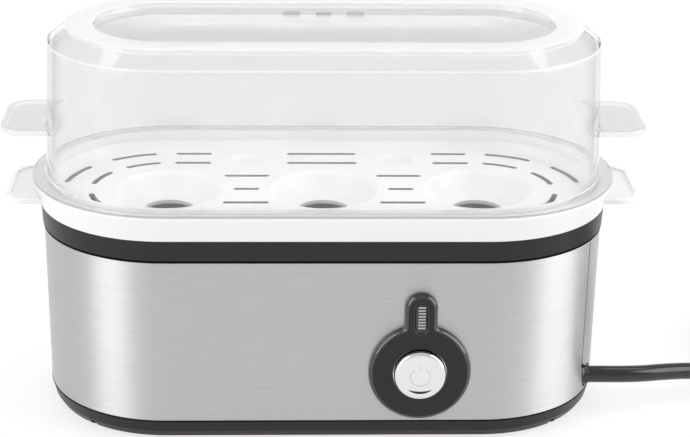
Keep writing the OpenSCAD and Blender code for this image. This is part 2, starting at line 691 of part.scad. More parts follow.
module live_leads() color("#7a4a2b") {
  core = [sheath_end, cord_y - 1.2, cord_z - 0.7];
  lead([core, core - [3, 0, 0], [block_in + 6, pole_y[0] - 4, pole_z + 1.6],
    [block_in + 2, pole_y[0], pole_z], [block_in, pole_y[0], pole_z],
    [block_in - 4, pole_y[0], pole_z]]);
  lead([[block_out + 4, pole_y[0], pole_z], [block_out - 3, pole_y[0], pole_z],
    [panel_x - 9, -8, 16], [panel_x - 10, -1, 24], live_tab + [-2, 6, -1],
    live_tab + [0, 3, 0], live_tab]);
  lead([switched_tab, switched_tab + [0, 3, 0], switched_tab + [-2, 9, 2], [20, 8, 34],
    [8, 5, thermo_end - 6], [5, 0, thermo_end - 3], [5, 0, thermo_end]]);
  lead([[-5, 0, thermo_end], [-5, 0, thermo_end - 3], [-1, 8, thermo_end - 4],
    [12, 12, thermo_end + 4], [fuse_x - 3, 13, fuse_z - 5], [fuse_x, fuse_half + 5, fuse_z],
    [fuse_x, fuse_half + 3, fuse_z], [fuse_x, fuse_half, fuse_z]]);
  lead([[fuse_x, -fuse_half, fuse_z], [fuse_x, -fuse_half - 2, fuse_z],
    [fuse_x + 4, 6 - element_leg_y, fuse_z], [fuse_x + 12, 6 - element_leg_y, fuse_z],
    [pin_tip - 4, 6 - element_leg_y, fuse_z], [pin_tip + 7, 3 - element_leg_y, element_z],
    [pin_tip + 6, -element_leg_y, element_z], [pin_tip + 3, -element_leg_y, element_z],
    [pin_tip, -element_leg_y, element_z]]);
}

module neutral_leads() color("#3a63a8") {
  core = [sheath_end, cord_y + 1.2, cord_z - 0.7];
  lead([core, core - [3, 0, 0], [block_in + 9.5, pole_y[2] - 12, pole_z + 2],
    [block_in + 7, pole_y[2] - 3, pole_z + 0.5], [block_in + 2, pole_y[2], pole_z],
    [block_in - 4, pole_y[2], pole_z]]);
  lead([[block_out + 4, pole_y[2], pole_z], [block_out - 5, pole_y[2], pole_z],
    [block_out - 9, pole_y[2] + 6, pole_z + 6], [34, 20, 30], [52, 28, 46],
    [pin_tip + 10, 24, element_z - 3], [pin_tip + 10, element_leg_y + 3, element_z],
    [pin_tip + 6, element_leg_y, element_z], [pin_tip + 3, element_leg_y, element_z],
    [pin_tip, element_leg_y, element_z]]);
}

module earth_leads() color("#8aa63c") {
  core = [sheath_end, cord_y, cord_z + 1.3];
  lead([core, core - [3, 0, 0], [block_in + 6.5, pole_y[1] - 9, pole_z + 4],
    [block_in + 4.5, pole_y[1] - 3, pole_z + 1], [block_in + 2, pole_y[1], pole_z],
    [block_in - 4, pole_y[1], pole_z]]);
  lead([[block_out + 4, pole_y[1], pole_z], [block_out - 6, pole_y[1], pole_z],
    [18, -5, 16], [15, -9, 28], [19, -9, clamp_z - 8], [stud_x - 22, -3, clamp_z - 1.5],
    [stud_x - 14, 0, clamp_z - tag_t / 2], [stud_x - 12, 0, clamp_z - tag_t / 2],
    [stud_x - 10, 0, clamp_z - tag_t / 2]]);
}

module lamp_leads() color("#d8d4cc") {
  foot = lens_up - holder_half;
  lead([on_panel_point([1.4, foot, lamp_z]), on_panel_point([1.4, foot - 1.2, lamp_z]),
    on_panel_point([2, foot - 2, -12]), on_panel_point([4, 11, seat_z - 6]),
    lamp_tab + [0, 0, 7], lamp_tab + [0, 0, 3], lamp_tab]);
  lead([on_panel_point([-1.4, foot, lamp_z]), on_panel_point([-1.4, foot - 1.2, lamp_z]),
    on_panel_point([-3, foot - 2, -12]), on_panel_point([-9, 11, seat_z - 6]), [20, -6, 30],
    [22, pole_y[2] + 2, 20], [block_out - 6, pole_y[2], base_top + block_h - 3],
    [block_out - 3, pole_y[2], base_top + block_h - 3],
    [block_out, pole_y[2], base_top + block_h - 3]]);
}

module cord_grommet() color("#1c1c1d") translate([0, cord_y, cord_z]) rotate([0, 90, 0])
  rotate_extrude() {
  inside = exit_x - 8;
  polygon([[cord_r + 0.05, inside - 6], [cord_r + 1, inside - 6], [grommet_r, inside - 3],
    [grommet_r + 2, inside - 3], [grommet_r + 2, inside], [grommet_r, inside],
    [grommet_r, exit_x - 2], [cord_r + 0.8, exit_x - 1.2], [cord_r + 0.5, grommet_out],
    [cord_r + 0.05, grommet_out]]);
}

module cord_inner() color("#141414") translate([sheath_end, cord_y, cord_z]) rotate([0, 90, 0])
  cylinder(r = cord_r, h = grommet_out - sheath_end);

module cord_clamp() color("#2c2c2e") difference() {
  translate([clamp_x - clamp_half, cord_y - clamp_screw_y - 4, cord_z])
    cube([2 * clamp_half, 2 * clamp_screw_y + 8, cord_r + 2.4]);
  translate([clamp_x - 10, cord_y, cord_z]) rotate([0, 90, 0]) cylinder(r = cord_r + snug, h = 20);
  for (s = [-1, 1]) translate([clamp_x, cord_y + s * clamp_screw_y, cord_z - 1])
    cylinder(r = screw_r + 0.2, h = 12);
}

module clamp_screws() color("#b8bcc0") for (s = [-1, 1])
  translate([clamp_x, cord_y + s * clamp_screw_y, cord_z + cord_r + 2.4]) {
  cylinder(r = head_r, h = head_h);
  translate([0, 0, -11]) cylinder(r = screw_r, h = 11);
}

module cord_lead() color("#141414") {
  exit = [grommet_out, cord_y, cord_z];
  end = [lead_stop, plug_y, coil_low];
  bend = concat([exit + [4, 0, 0]], lead_route, [end - [cord_d, 0, 0]]);
  tube(concat([exit], smooth(bend, 2), [end]), cord_r, 12);
}

module cord_coil() color("#141414") tube(coil_path, cord_r, 6);

module coil_tie() color("#2a2a2a") translate([coil_x, coil_y + 2.5, 0]) rotate([90, 0, 0])
  linear_extrude(5) {
  near = coil_r - coil_pitch * (coil_turns / 2) - cord_r - 0.6;
  far = coil_r + cord_r + 0.2;
  top = coil_high + cord_r + 0.2;
  difference() {
    translate([near - tie_t, 0.05]) square([far - near + 2 * tie_t, top + tie_t - 0.05]);
    translate([near, 0.05 + tie_t]) square([far - near, top - tie_t - 0.05]);
  }
}

module plug_body() color("#141414") difference() {
  union() {
    translate([plug_x, plug_y, 0]) rotate_extrude() polygon([[0, 0], [16, 0], [18.6, 2.6],
      [18.6, 15], [17.4, 19], [17.4, 22], [0, 22]]);
    translate([plug_entry, plug_y, coil_high]) rotate([0, 90, 0])
      cylinder(r1 = cord_r + 0.6, r2 = 6, h = plug_x - 16 - plug_entry);
  }
  for (s = [-1, 1]) translate([plug_x - 3.2, plug_y + s * 18 - 1.5, 8]) cube([6.4, 3, 20]);
}

module plug_pins() color("#d9dadb") for (s = [-1, 1]) translate([plug_x + s * 9.5, plug_y, 22]) {
  cylinder(r = 2.4, h = 17);
  translate([0, 0, 17]) cylinder(r1 = 2.4, r2 = 1.2, h = 2);
}

module plug_earth() color("#d9dadb") for (s = [-1, 1])
  translate([plug_x, plug_y + s * 17.1, 15]) cube([6, 1, 14], center = true);

module well(x) {
  translate([x, 0, floor_z]) rotate_extrude() polygon([[well_r, 0], [well_r - 1, -2.6],
    [well_r - 4, -well_depth + 2.2], [well_hole_r + 2, -well_depth + 0.3], [well_hole_r, -well_depth],
    [well_hole_r, -well_depth - tray_wall], [well_hole_r + 2.6, -well_depth - tray_wall + 0.3],
    [well_r - 2.4, -well_depth + 1.2], [well_r + 0.8, -2.9], [well_r + 1.6, -tray_wall],
    [well_r + 1.6, 0]]);
}

module floor_slot(x, y, len) {
  translate([x, y, floor_z - tray_wall - 1]) linear_extrude(tray_wall + 2) slot2d(len, slot_w);
}

// A slot on an arc about an end's axis, from one angle to another, measured from +Y.
// Its rounded ends are a hair narrower than the slot, so that no two faces meet in a tangent
module arc_slot(r, from, to) {
  translate([end_offset, 0, floor_z - tray_wall - 1]) {
    rotate([0, 0, 90 - to]) rotate_extrude(angle = to - from) translate([r - slot_w / 2, 0])
      square([slot_w, tray_wall + 2]);
    for (a = [from, to]) rotate([0, 0, 90 - a]) translate([r, 0, 0])
      cylinder(r = slot_w / 2 - 0.05, h = tray_wall + 2, $fn = 32);
  }
}

module steam_slots() {
  inner_row = well_r + 9.8;
  outer_row = rim_in - 5.6;
  for (sx = [-1, 1]) {
    for (sy = [-1, 1]) {
      floor_slot(sx * end_offset / 2, sy * 14.4, 17);
      for (y = [inner_row, outer_row]) floor_slot(sx * (end_offset - 8), sy * y, 14);
    }
    floor_slot(sx * end_offset / 2, 0, 9.6);
  }
  for (sy = [-1, 1]) for (y = [inner_row, outer_row]) floor_slot(0, sy * y, 27);
  for (turn = [0, 180]) rotate([0, 0, turn]) for (m = [0, 1]) mirror([0, m, 0])
    for (r = [inner_row, outer_row]) {
      arc_slot(r, 11, 35);
      arc_slot(r, 53, 78);
    }
}

module egg_tray() color("#f4f4f2") difference() {
  union() {
    difference() {
      around() polygon([[tray_r, tray_z], [rim_r, rim_z], [rim_in, rim_z], [rim_in, rim_z - 2.8],
        [rim_in - 2.6, floor_z], [0, floor_z], [0, floor_z - tray_wall],
        [collar_in - 0.4 - tray_wall, floor_z - tray_wall], [collar_in - 0.4 - tray_wall, tray_z - 2.4],
        [collar_in - 0.4, tray_z - 2.4], [collar_in - 0.4, floor_z - tray_wall + 0.6],
        [rim_in + 0.8, rim_z - tray_wall], [rim_r - 0.4 - tray_wall, rim_z - tray_wall],
        [tray_r - tray_wall, tray_z]]);
      for (x = [-end_offset, 0, end_offset]) translate([x, 0, floor_z - tray_wall - 1])
        cylinder(r = well_r + 0.5, h = tray_wall + 2);
    }
    for (x = [-end_offset, 0, end_offset]) well(x);
    translate([0, 0, tray_z + 3.4]) ear(tray_ear_tip, tray_r + 0.1);
  }
  steam_slots();
  for (sx = [-1, 1]) translate([sx * end_offset / 2, rim_in - 10, floor_z - 0.6]) cylinder(r = 7, h = 2);
}

module lid_cover() color([0.9, 0.93, 0.94, 0.45]) difference() {
  inner_r = lid_r - lid_wall;
  shoulder_in = inner_r - lid_lean;
  ledge_out = lid_r - lid_lean - shoulder_w;
  ledge_in = ledge_out - ledge_w;
  union() {
    around() polygon([[rim_in - 0.4, rim_z - 2.2], [rim_in - 0.4, rim_z], [rim_r, rim_z],
      [rim_r, lid_z], [lid_r, lid_z], [lid_r - lid_lean, shoulder_z], [ledge_out, top_z],
      [ledge_in, top_z], [ledge_in, top_z - recess_d], [0, top_z - recess_d],
      [0, top_z - recess_d - lid_wall], [ledge_in + lid_wall, top_z - recess_d - lid_wall],
      [ledge_in + lid_wall, top_z - lid_wall], [ledge_out - 0.8, top_z - lid_wall],
      [shoulder_in, shoulder_z - 1], [inner_r, lid_z], [inner_r, rim_z - 2.2]]);
    translate([0, 0, lid_z + lid_ear_up - ear_t]) ear(lid_ear_tip, lid_r - lid_lean - 0.4);
  }
  for (x = [-12, 0, 12]) translate([x, ledge_in - 5, top_z - recess_d - lid_wall - 1])
    linear_extrude(lid_wall + 2) slot2d(x == 0 ? vent_w - 1 : vent_w, x == 0 ? 2.4 : 3.6);
}

echo(coil_gap = coil_gap);
base_plate();
rubber_feet();
base_screws();
steel_sleeve();
seam_strip();
upper_collar();
water_dish();
dish_seal();
heat_spreader();
heating_element();
dish_clamps();
dish_nuts();
earth_tag();
thermostat();
thermostat_screws();
thermal_fuse();
fuse_clip();
control_bezel();
bezel_screws();
indicator_lens();
indicator_lamp();
lamp_holder();
switch_carrier();
push_switch();
button_spring();
button_cap();
switch_plunger();
terminal_block();
terminal_screws();
live_leads();
neutral_leads();
earth_leads();
lamp_leads();
cord_grommet();
cord_inner();
cord_clamp();
clamp_screws();
cord_lead();
cord_coil();
coil_tie();
plug_body();
plug_pins();
plug_earth();
egg_tray();
lid_cover();
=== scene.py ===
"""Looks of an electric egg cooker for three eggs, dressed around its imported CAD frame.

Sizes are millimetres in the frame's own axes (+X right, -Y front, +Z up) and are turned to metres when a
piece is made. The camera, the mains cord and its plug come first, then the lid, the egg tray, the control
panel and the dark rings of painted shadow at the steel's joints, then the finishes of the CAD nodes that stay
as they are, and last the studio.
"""

import json
import logging
import math
from dataclasses import dataclass, field
from enum import Enum

import bmesh
import bpy
from mathutils import Matrix, Vector

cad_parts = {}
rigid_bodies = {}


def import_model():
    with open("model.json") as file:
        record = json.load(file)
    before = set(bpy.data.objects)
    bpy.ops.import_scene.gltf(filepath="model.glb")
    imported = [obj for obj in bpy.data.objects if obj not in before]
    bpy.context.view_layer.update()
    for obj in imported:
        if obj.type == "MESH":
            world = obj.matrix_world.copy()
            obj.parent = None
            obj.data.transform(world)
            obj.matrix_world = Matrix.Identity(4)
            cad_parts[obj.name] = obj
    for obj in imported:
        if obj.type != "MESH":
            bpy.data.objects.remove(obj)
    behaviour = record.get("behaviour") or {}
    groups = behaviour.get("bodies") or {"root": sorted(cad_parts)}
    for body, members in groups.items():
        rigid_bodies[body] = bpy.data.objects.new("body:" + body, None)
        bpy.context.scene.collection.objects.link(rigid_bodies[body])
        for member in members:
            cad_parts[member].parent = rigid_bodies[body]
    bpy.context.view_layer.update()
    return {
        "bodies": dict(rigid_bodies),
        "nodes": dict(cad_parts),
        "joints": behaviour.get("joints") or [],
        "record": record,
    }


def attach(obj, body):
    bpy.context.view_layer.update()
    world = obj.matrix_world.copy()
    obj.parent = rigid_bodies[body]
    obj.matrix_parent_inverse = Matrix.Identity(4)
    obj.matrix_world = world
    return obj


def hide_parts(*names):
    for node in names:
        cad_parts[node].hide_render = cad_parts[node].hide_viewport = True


MM = 0.001
LOG = logging.getLogger("egg_cooker")

# Sockets of the colour Mix node, which shares its names with the other kinds of Mix
MIX_A, MIX_B, MIX_OUT = 6, 7, 2

BMesh = bmesh.types.BMesh
Vert, Edge, Face = bmesh.types.BMVert, bmesh.types.BMEdge, bmesh.types.BMFace
Material = bpy.types.Material
Piece = bpy.types.Object
Colour = tuple[float, float, float, float]
Point = tuple[float, float, float]
# Distance from the axis or spine, height and rounding
Corner = tuple[float, float, float]
# X and Y of each corner
Outline = list[tuple[float, float]]


class Body(Enum):
    """The moving groups of the CAD frame."""

    BASE = "base"
    BUTTON = "button"
    TRAY = "tray"
    LID = "lid"


class Cut(Enum):
    """How one solid works on another."""

    JOIN = "UNION"
    TAKE_AWAY = "DIFFERENCE"


class Rounded(Enum):
    """What a rounding works on."""

    CORNERS = "VERTICES"
    EDGES = "EDGES"


def linear(colour: str) -> Colour:
    """Turns an sRGB hex colour to linear RGBA.

    Args:
        colour: Six hex digits after a hash.
    Returns:
        Red, green, blue and alpha for a shader socket.
    """
    parts = [int(colour[i : i + 2], 16) / 255 for i in (1, 3, 5)]
    r, g, b = (c / 12.92 if c <= 0.04045 else ((c + 0.055) / 1.055) ** 2.4 for c in parts)
    return r, g, b, 1.0


def tones(colour: str, spread: float) -> tuple[Colour, Colour]:
    """Gives a darker and a lighter tone of a colour.

    Args:
        colour: The sRGB hex colour between them.
        spread: How far each is from it, as a share of it.
    Returns:
        Both tones as linear RGBA.
    """
    r, g, b, _ = linear(colour)
    less, more = 1 - spread, 1 + spread
    low = (r * less, g * less, b * less, 1.0)
    high = (min(r * more, 1.0), min(g * more, 1.0), min(b * more, 1.0), 1.0)
    return low, high


def node(
    tree: bpy.types.NodeTree, kind: str, inputs: dict | None = None, **settings: object
) -> bpy.types.Node:
    """Adds a node with its settings and links.

    Args:
        tree: The tree that gets the node.
        kind: Blender's name of the node's type.
        inputs: A value, or another node's output, for each input by name or number.
        **settings: The node's own properties.
    Returns:
        The node.
    """
    made = tree.nodes.new(kind)
    for name, value in settings.items():
        setattr(made, name, value)
    for name, value in (inputs or {}).items():
        if isinstance(value, bpy.types.NodeSocket):
            tree.links.new(value, made.inputs[name])
        else:
            made.inputs[name].default_value = value
    return made


def fresh(name: str) -> tuple[Material, bpy.types.NodeTree]:
    """Makes an empty node material.

    Args:
        name: The material's name.
    Returns:
        The material and its tree.
    """
    made = bpy.data.materials.new(name)
    made.use_nodes = True
    made.node_tree.nodes.clear()
    return made, made.node_tree


@dataclass(frozen=True)
class Skin:
    """How the mould left a surface: its grain, the grain's depth and the rounding that edges seem to have."""

    grain_mm: float = 0.45
    relief_mm: float = 0.012
    edge_mm: float = 0.3


ERODED = Skin()
POLISHED = Skin(3.0, 0.0, 0.0)


@dataclass(frozen=True)
class MouldedPlastic:
    """Moulded plastic or rubber: an even body colour under a grained or polished skin."""

    name: str
    colour: str
    roughness: float = 0.4
    skin: Skin = ERODED
    ior: float = 1.5
    shade: float = 0.06
    vary: float = 0.06
    drift_mm: float = 24.0

    def material(self) -> Material:
        """Builds the material: grain as bump, slow colour drift of the moulding and softened edges.

        Returns:
            The material.
        """
        made, tree = fresh(self.name)
        place = node(tree, "ShaderNodeTexCoord").outputs["Object"]
        fine = {"Vector": place, "Scale": 1 / (self.skin.grain_mm * MM), "Detail": 2.0}
        grain = node(tree, "ShaderNodeTexNoise", fine).outputs["Fac"]
        slow = {"Vector": place, "Scale": 1 / (self.drift_mm * MM), "Detail": 1.0}
        drift = node(tree, "ShaderNodeTexNoise", slow).outputs["Fac"]
        low, high = tones(self.colour, self.shade)
        tone = node(tree, "ShaderNodeMix", {"Factor": drift, MIX_A: low, MIX_B: high}, data_type="RGBA")
        span = {"Value": grain, "To Min": self.roughness - self.vary, "To Max": self.roughness + self.vary}
        rough = node(tree, "ShaderNodeMapRange", span)
        edge = node(tree, "ShaderNodeBevel", {"Radius": self.skin.edge_mm * MM}, samples=4)
        relief = {"Height": grain, "Distance": self.skin.relief_mm * MM, "Normal": edge.outputs[0]}
        bump = node(tree, "ShaderNodeBump", relief)
        surface = {
            "Base Color": tone.outputs[MIX_OUT],
            "Roughness": rough.outputs[0],
            "IOR": self.ior,
            "Normal": bump.outputs[0],
        }
        shader = node(tree, "ShaderNodeBsdfPrincipled", surface)
        node(tree, "ShaderNodeOutputMaterial", {"Surface": shader.outputs[0]})
        return made


@dataclass(frozen=True)
class BrushedSteel:
    """Stainless sheet brushed along its length: fine level lines that stretch each highlight upright."""

    name: str
    colour: str
    roughness: float = 0.46
    vary: float = 0.05
    line_mm: float = 0.3
    length_mm: float = 16.0
    contrast: float = 0.06
    relief_mm: float = 0.004
    relief: float = 0.1
    noise_fills: tuple[float, float] = (0.3, 0.7)
    anisotropy: float = 0.85
    quarter_turn: float = 0.25

    def material(self) -> Material:
        """Builds the material, with lines that are coarser than the real 0.05 mm so that they show.

        Returns:
            The material.
        """
        made, tree = fresh(self.name)
        place = node(tree, "ShaderNodeTexCoord").outputs["Object"]
        along, across = 1 / (self.length_mm * MM), 1 / (self.line_mm * MM)
        run = node(tree, "ShaderNodeMapping", {"Vector": place, "Scale": (along, along, across)})
        stretched = {"Vector": run.outputs[0], "Scale": 1.0, "Detail": 3.0}
        lines = node(tree, "ShaderNodeTexNoise", stretched).outputs["Fac"]
        clearer = {"Value": lines, "From Min": self.noise_fills[0], "From Max": self.noise_fills[1]}
        spread = node(tree, "ShaderNodeMapRange", clearer, clamp=True)
        low, high = tones(self.colour, self.contrast)
        mixed = {"Factor": spread.outputs[0], MIX_A: low, MIX_B: high}
        tone = node(tree, "ShaderNodeMix", mixed, data_type="RGBA")
        span = {"Value": lines, "To Min": self.roughness - self.vary, "To Max": self.roughness + self.vary}
        rough = node(tree, "ShaderNodeMapRange", span)
        relief = {"Height": lines, "Strength": self.relief, "Distance": self.relief_mm * MM}
        bump = node(tree, "ShaderNodeBump", relief)
        tangent = node(tree, "ShaderNodeTangent", direction_type="RADIAL", axis="Z")
        surface = {
            "Base Color": tone.outputs[MIX_OUT],
            "Metallic": 1.0,
            "Roughness": rough.outputs[0],
            "Anisotropic": self.anisotropy,
            "Anisotropic Rotation": self.quarter_turn,
            "Tangent": tangent.outputs[0],
            "Normal": bump.outputs[0],
        }
        shader = node(tree, "ShaderNodeBsdfPrincipled", surface)
        node(tree, "ShaderNodeOutputMaterial", {"Surface": shader.outputs[0]})
        return made


@dataclass(frozen=True)
class PlainMetal:
    """Plated, drawn or cast metal with faint handling marks."""

    name: str
    colour: str
    roughness: float = 0.3
    mark_mm: float = 1.2
    vary: float = 0.2
    darker: float = 0.08

    def material(self) -> Material:
        """Builds the material: marks vary the roughness and lightly the colour.

        Returns:
            The material.
        """
        made, tree = fresh(self.name)
        place = node(tree, "ShaderNodeTexCoord").outputs["Object"]
        pattern = {"Vector": place, "Scale": 1 / (self.mark_mm * MM), "Detail": 3.0}
        marks = node(tree, "ShaderNodeTexNoise", pattern).outputs["Fac"]
        low, _ = tones(self.colour, self.darker)
        mixed = {"Factor": marks, MIX_A: low, MIX_B: linear(self.colour)}
        tone = node(tree, "ShaderNodeMix", mixed, data_type="RGBA")
        less, more = self.roughness * (1 - self.vary), self.roughness * (1 + self.vary)
        rough = node(tree, "ShaderNodeMapRange", {"Value": marks, "To Min": less, "To Max": more})
        surface = {"Base Color": tone.outputs[MIX_OUT], "Metallic": 1.0, "Roughness": rough.outputs[0]}
        shader = node(tree, "ShaderNodeBsdfPrincipled", surface)
        node(tree, "ShaderNodeOutputMaterial", {"Surface": shader.outputs[0]})
        return made


@dataclass(frozen=True)
class ClearPlastic:
    """Clear moulded plastic or glass: hardly tinted, glossy or hazy, with the lamps shining through it.

    Where grazing is given, a wall takes that colour where the eye looks along it, because the way through
    the plastic is longer there.
    """

    name: str
    colour: str
    roughness: float = 0.03
    ior: float = 1.5
    haze: float = 0.0
    coat: float = 0.0
    grazing: str = ""
    grazing_from: float = 0.55
    flow_mm: float = 16.0
    ripple_mm: float = 0.03
    ripple_strength: float = 0.3
    lamp_tint: str = "#fdfdfd"

    def material(self) -> Material:
        """Builds the material: slow flow ripples of the moulding, and a see-through stand-in for lamp rays.

        Returns:
            The material.
        """
        made, tree = fresh(self.name)
        place = node(tree, "ShaderNodeTexCoord").outputs["Object"]
        slow = {"Vector": place, "Scale": 1 / (self.flow_mm * MM), "Detail": 1.0}
        flow = node(tree, "ShaderNodeTexNoise", slow).outputs["Fac"]
        relief = {"Height": flow, "Strength": self.ripple_strength, "Distance": self.ripple_mm * MM}
        ripple = node(tree, "ShaderNodeBump", relief).outputs[0]
        surface = {
            "Base Color": linear(self.colour),
            "Roughness": self.roughness,
            "IOR": self.ior,
            "Transmission Weight": 1.0 - self.haze,
            "Coat Weight": self.coat,
            "Coat Roughness": self.roughness,
            "Coat Normal": ripple,
            "Normal": ripple,
        }
        if self.grazing:
            slant = node(tree, "ShaderNodeLayerWeight", {"Blend": 0.5}).outputs["Facing"]
            longer = node(tree, "ShaderNodeMapRange", {"Value": slant, "From Min": self.grazing_from})
            mixed = {"Factor": longer.outputs[0], MIX_A: linear(self.colour), MIX_B: linear(self.grazing)}
            surface["Base Color"] = node(tree, "ShaderNodeMix", mixed, data_type="RGBA").outputs[MIX_OUT]
        body = node(tree, "ShaderNodeBsdfPrincipled", surface)
        clear = node(tree, "ShaderNodeBsdfTransparent", {"Color": linear(self.lamp_tint)})
        lamp_ray = node(tree, "ShaderNodeLightPath").outputs["Is Shadow Ray"]
        either = node(tree, "ShaderNodeMixShader", {0: lamp_ray, 1: body.outputs[0], 2: clear.outputs[0]})
        node(tree, "ShaderNodeOutputMaterial", {"Surface": either.outputs[0]})
        return made


def picked(geom: list, kind: type) -> list:
    """Picks the elements of one kind, such as verts, out of an operator's result."""
    return [g for g in geom if isinstance(g, kind)]


def round_off(
    bm: BMesh, geom: list, width: float, segments: int, what: Rounded = Rounded.EDGES, clamp: bool = True
) -> None:
    """Rounds edges, or the corners of a wire.

    Args:
        bm: The mesh.
        geom: The edges or corners.
        width: Width of the rounding.
        segments: Steps in it.
        what: Whether edges or corners are rounded.
        clamp: Whether the width is held where roundings would overlap.
    """
    bmesh.ops.bevel(
        bm,
        geom=geom,
        offset=width,
        offset_type="OFFSET",
        segments=segments,
        profile=0.5,
        affect=what.value,
        material=-1,
        clamp_overlap=clamp,
    )


def soften(bm: BMesh, width: float, segments: int = 3, sharper: float = 60.0) -> None:
    """Rounds the edges where two faces meet at a clear angle.

    Args:
        bm: The mesh.
        width: Width of the rounding.
        segments: Steps in it.
        sharper: Only edges that turn by more than this, in degrees, are rounded.
    """
    least = math.radians(sharper)
    edges = [e for e in bm.edges if len(e.link_faces) == 2 and e.calc_face_angle(0) > least]
    round_off(bm, edges, width, segments)


def weld(bm: BMesh, within: float = 0.0005) -> None:
    """Merges points that lie within a distance of each other and turns the faces outwards."""
    bmesh.ops.remove_doubles(bm, verts=bm.verts, dist=within)
    bmesh.ops.recalc_face_normals(bm, faces=bm.faces)


def wire(bm: BMesh, corners: list[Corner], closed: bool = False, segments: int = 4) -> None:
    """Draws a wire in the XZ plane and rounds its corners.

    Args:
        bm: The mesh that gets the wire.
        corners: Distance, height and rounding of each corner.
        closed: Whether the last corner joins the first.
        segments: Steps in each rounded corner.
    """
    verts = [bm.verts.new((r, 0.0, z)) for r, z, _ in corners]
    for a, b in zip(verts, verts[1:]):
        bm.edges.new((a, b))
    if closed:
        bm.edges.new((verts[-1], verts[0]))
    for vert, (_, _, rounding) in zip(verts, corners):
        if rounding:
            round_off(bm, [vert], rounding, segments, Rounded.CORNERS)


def carry_round(bm: BMesh, half: float, steps: int = 48) -> None:
    """Carries the mesh's wire round a plan with two straight sides and two half-round ends.

    Args:
        bm: The mesh, which holds only the wire, with X as the distance from the plan's spine.
        half: Half the spine's length.
        steps: Steps in each rounded end.
    """
    bmesh.ops.rotate(bm, cent=(0, 0, 0), matrix=Matrix.Rotation(-math.pi / 2, 3, "Z"), verts=bm.verts)
    bmesh.ops.translate(bm, vec=(half, 0, 0), verts=bm.verts)
    front: list = bm.verts[:] + bm.edges[:]
    for end in (1, -1):
        turned = bmesh.ops.spin(
            bm,
            geom=front,
            cent=(end * half, 0, 0),
            axis=(0, 0, 1),
            angle=math.pi,
            steps=steps,
            use_merge=False,
            use_duplicate=False,
        )
        side = bmesh.ops.extrude_edge_only(bm, edges=picked(turned["geom_last"], Edge))["geom"]
        bmesh.ops.translate(bm, vec=(-2 * end * half, 0, 0), verts=picked(side, Vert))
        front = picked(side, Vert) + picked(side, Edge)
    weld(bm)


def turn(bm: BMesh, steps: int) -> None:
    """Turns the mesh's wire right round the Z axis.

    Args:
        bm: The mesh, which holds only the wire.
        steps: Steps in the full turn.
    """
    bmesh.ops.spin(
        bm,
        geom=bm.verts[:] + bm.edges[:],
        cent=(0, 0, 0),
        axis=(0, 0, 1),
        angle=2 * math.pi,
        steps=steps,
        use_merge=True,
        use_duplicate=False,
    )
    weld(bm)


def arc(x: float, y: float, r: float, start: float, stop: float, steps: int) -> Outline:
    """Gives points along an arc.

    Args:
        x: X of the arc's centre.
        y: Y of the arc's centre.
        r: Radius.
        start: First angle in degrees.
        stop: Last angle in degrees.
        steps: Steps between them.
    Returns:
        X and Y of each point, both ends among them.
    """
    angles = [math.radians(start + (stop - start) * i / steps) for i in range(steps + 1)]
    return [(x + r * math.cos(a), y + r * math.sin(a)) for a in angles]


def circle(x: float, y: float, r: float, steps: int) -> Outline:
    """Gives the points of a full circle about a centre, each of them once."""
    return arc(x, y, r, 0, 360 - 360 / steps, steps - 1)


def capsule(length: float, width: float, steps: int = 12) -> Outline:
    """Gives the outline of a slot with round ends, along X about the origin.

    Args:
        length: Length over the ends.
        width: Width.
        steps: Steps in each round end.
    Returns:
        X and Y of each corner.
    """
    half, r = (length - width) / 2, width / 2
    return arc(half, 0, r, -90, 90, steps) + arc(-half, 0, r, 90, 270, steps)


def loop(bm: BMesh, points: Outline, z: float = 0.0) -> list[Edge]:
    """Draws a closed level loop.

    Args:
        bm: The mesh that gets the loop.
        points: X and Y of each corner, in order.
        z: Height of the loop.
    Returns:
        The loop's edges.
    """
    verts = [bm.verts.new((x, y, z)) for x, y in points]
    return [bm.edges.new((a, b)) for a, b in zip(verts, verts[1:] + verts[:1])]


def lift(bm: BMesh, faces: list[Face], height: float) -> list[Vert]:
    """Raises flat faces to a solid.

    Args:
        bm: The mesh.
        faces: The faces, which stay as the solid's bottom.
        height: How far up they are raised.
    Returns:
        The points of the solid's top.
    """
    raised = bmesh.ops.extrude_face_region(bm, geom=faces, use_keep_orig=True)["geom"]
    tops = picked(raised, Vert)
    bmesh.ops.translate(bm, vec=(0, 0, height), verts=tops)
    bmesh.ops.recalc_face_normals(bm, faces=bm.faces)
    return tops


def prism(bm: BMesh, points: Outline, low: float, height: float) -> None:
    """Draws a level outline and raises it to a solid.

    Args:
        bm: The mesh that gets the solid.
        points: X and Y of each corner.
        low: Height of its bottom.
        height: How far up it is raised.
    """
    edges = loop(bm, points, low)
    lift(bm, bmesh.ops.edgeloop_fill(bm, edges=edges)["faces"], height)


def gather(bm: BMesh, other: BMesh) -> None:
    """Adds another mesh to this one.

    Args:
        bm: The mesh that grows.
        other: The mesh that is added, which is freed.
    """
    carrier = bpy.data.meshes.new("carrier")
    other.to_mesh(carrier)
    other.free()
    bm.from_mesh(carrier)
    bpy.data.meshes.remove(carrier)


def solid(name: str, bm: BMesh, place: Matrix | None = None) -> Piece:
    """Turns a bmesh in millimetres to an object in metres, at the origin.

    Args:
        name: The object's name.
        bm: The mesh, which is freed.
        place: Where its own frame lies, if it isn't the CAD's.
    Returns:
        The object, linked to the scene.
    """
    if place is not None:
        bmesh.ops.transform(bm, matrix=place, verts=bm.verts)
    bmesh.ops.scale(bm, vec=(MM, MM, MM), verts=bm.verts)
    mesh = bpy.data.meshes.new(name)
    bm.to_mesh(mesh)
    bm.free()
    made = bpy.data.objects.new(name, mesh)
    bpy.context.scene.collection.objects.link(made)
    return made


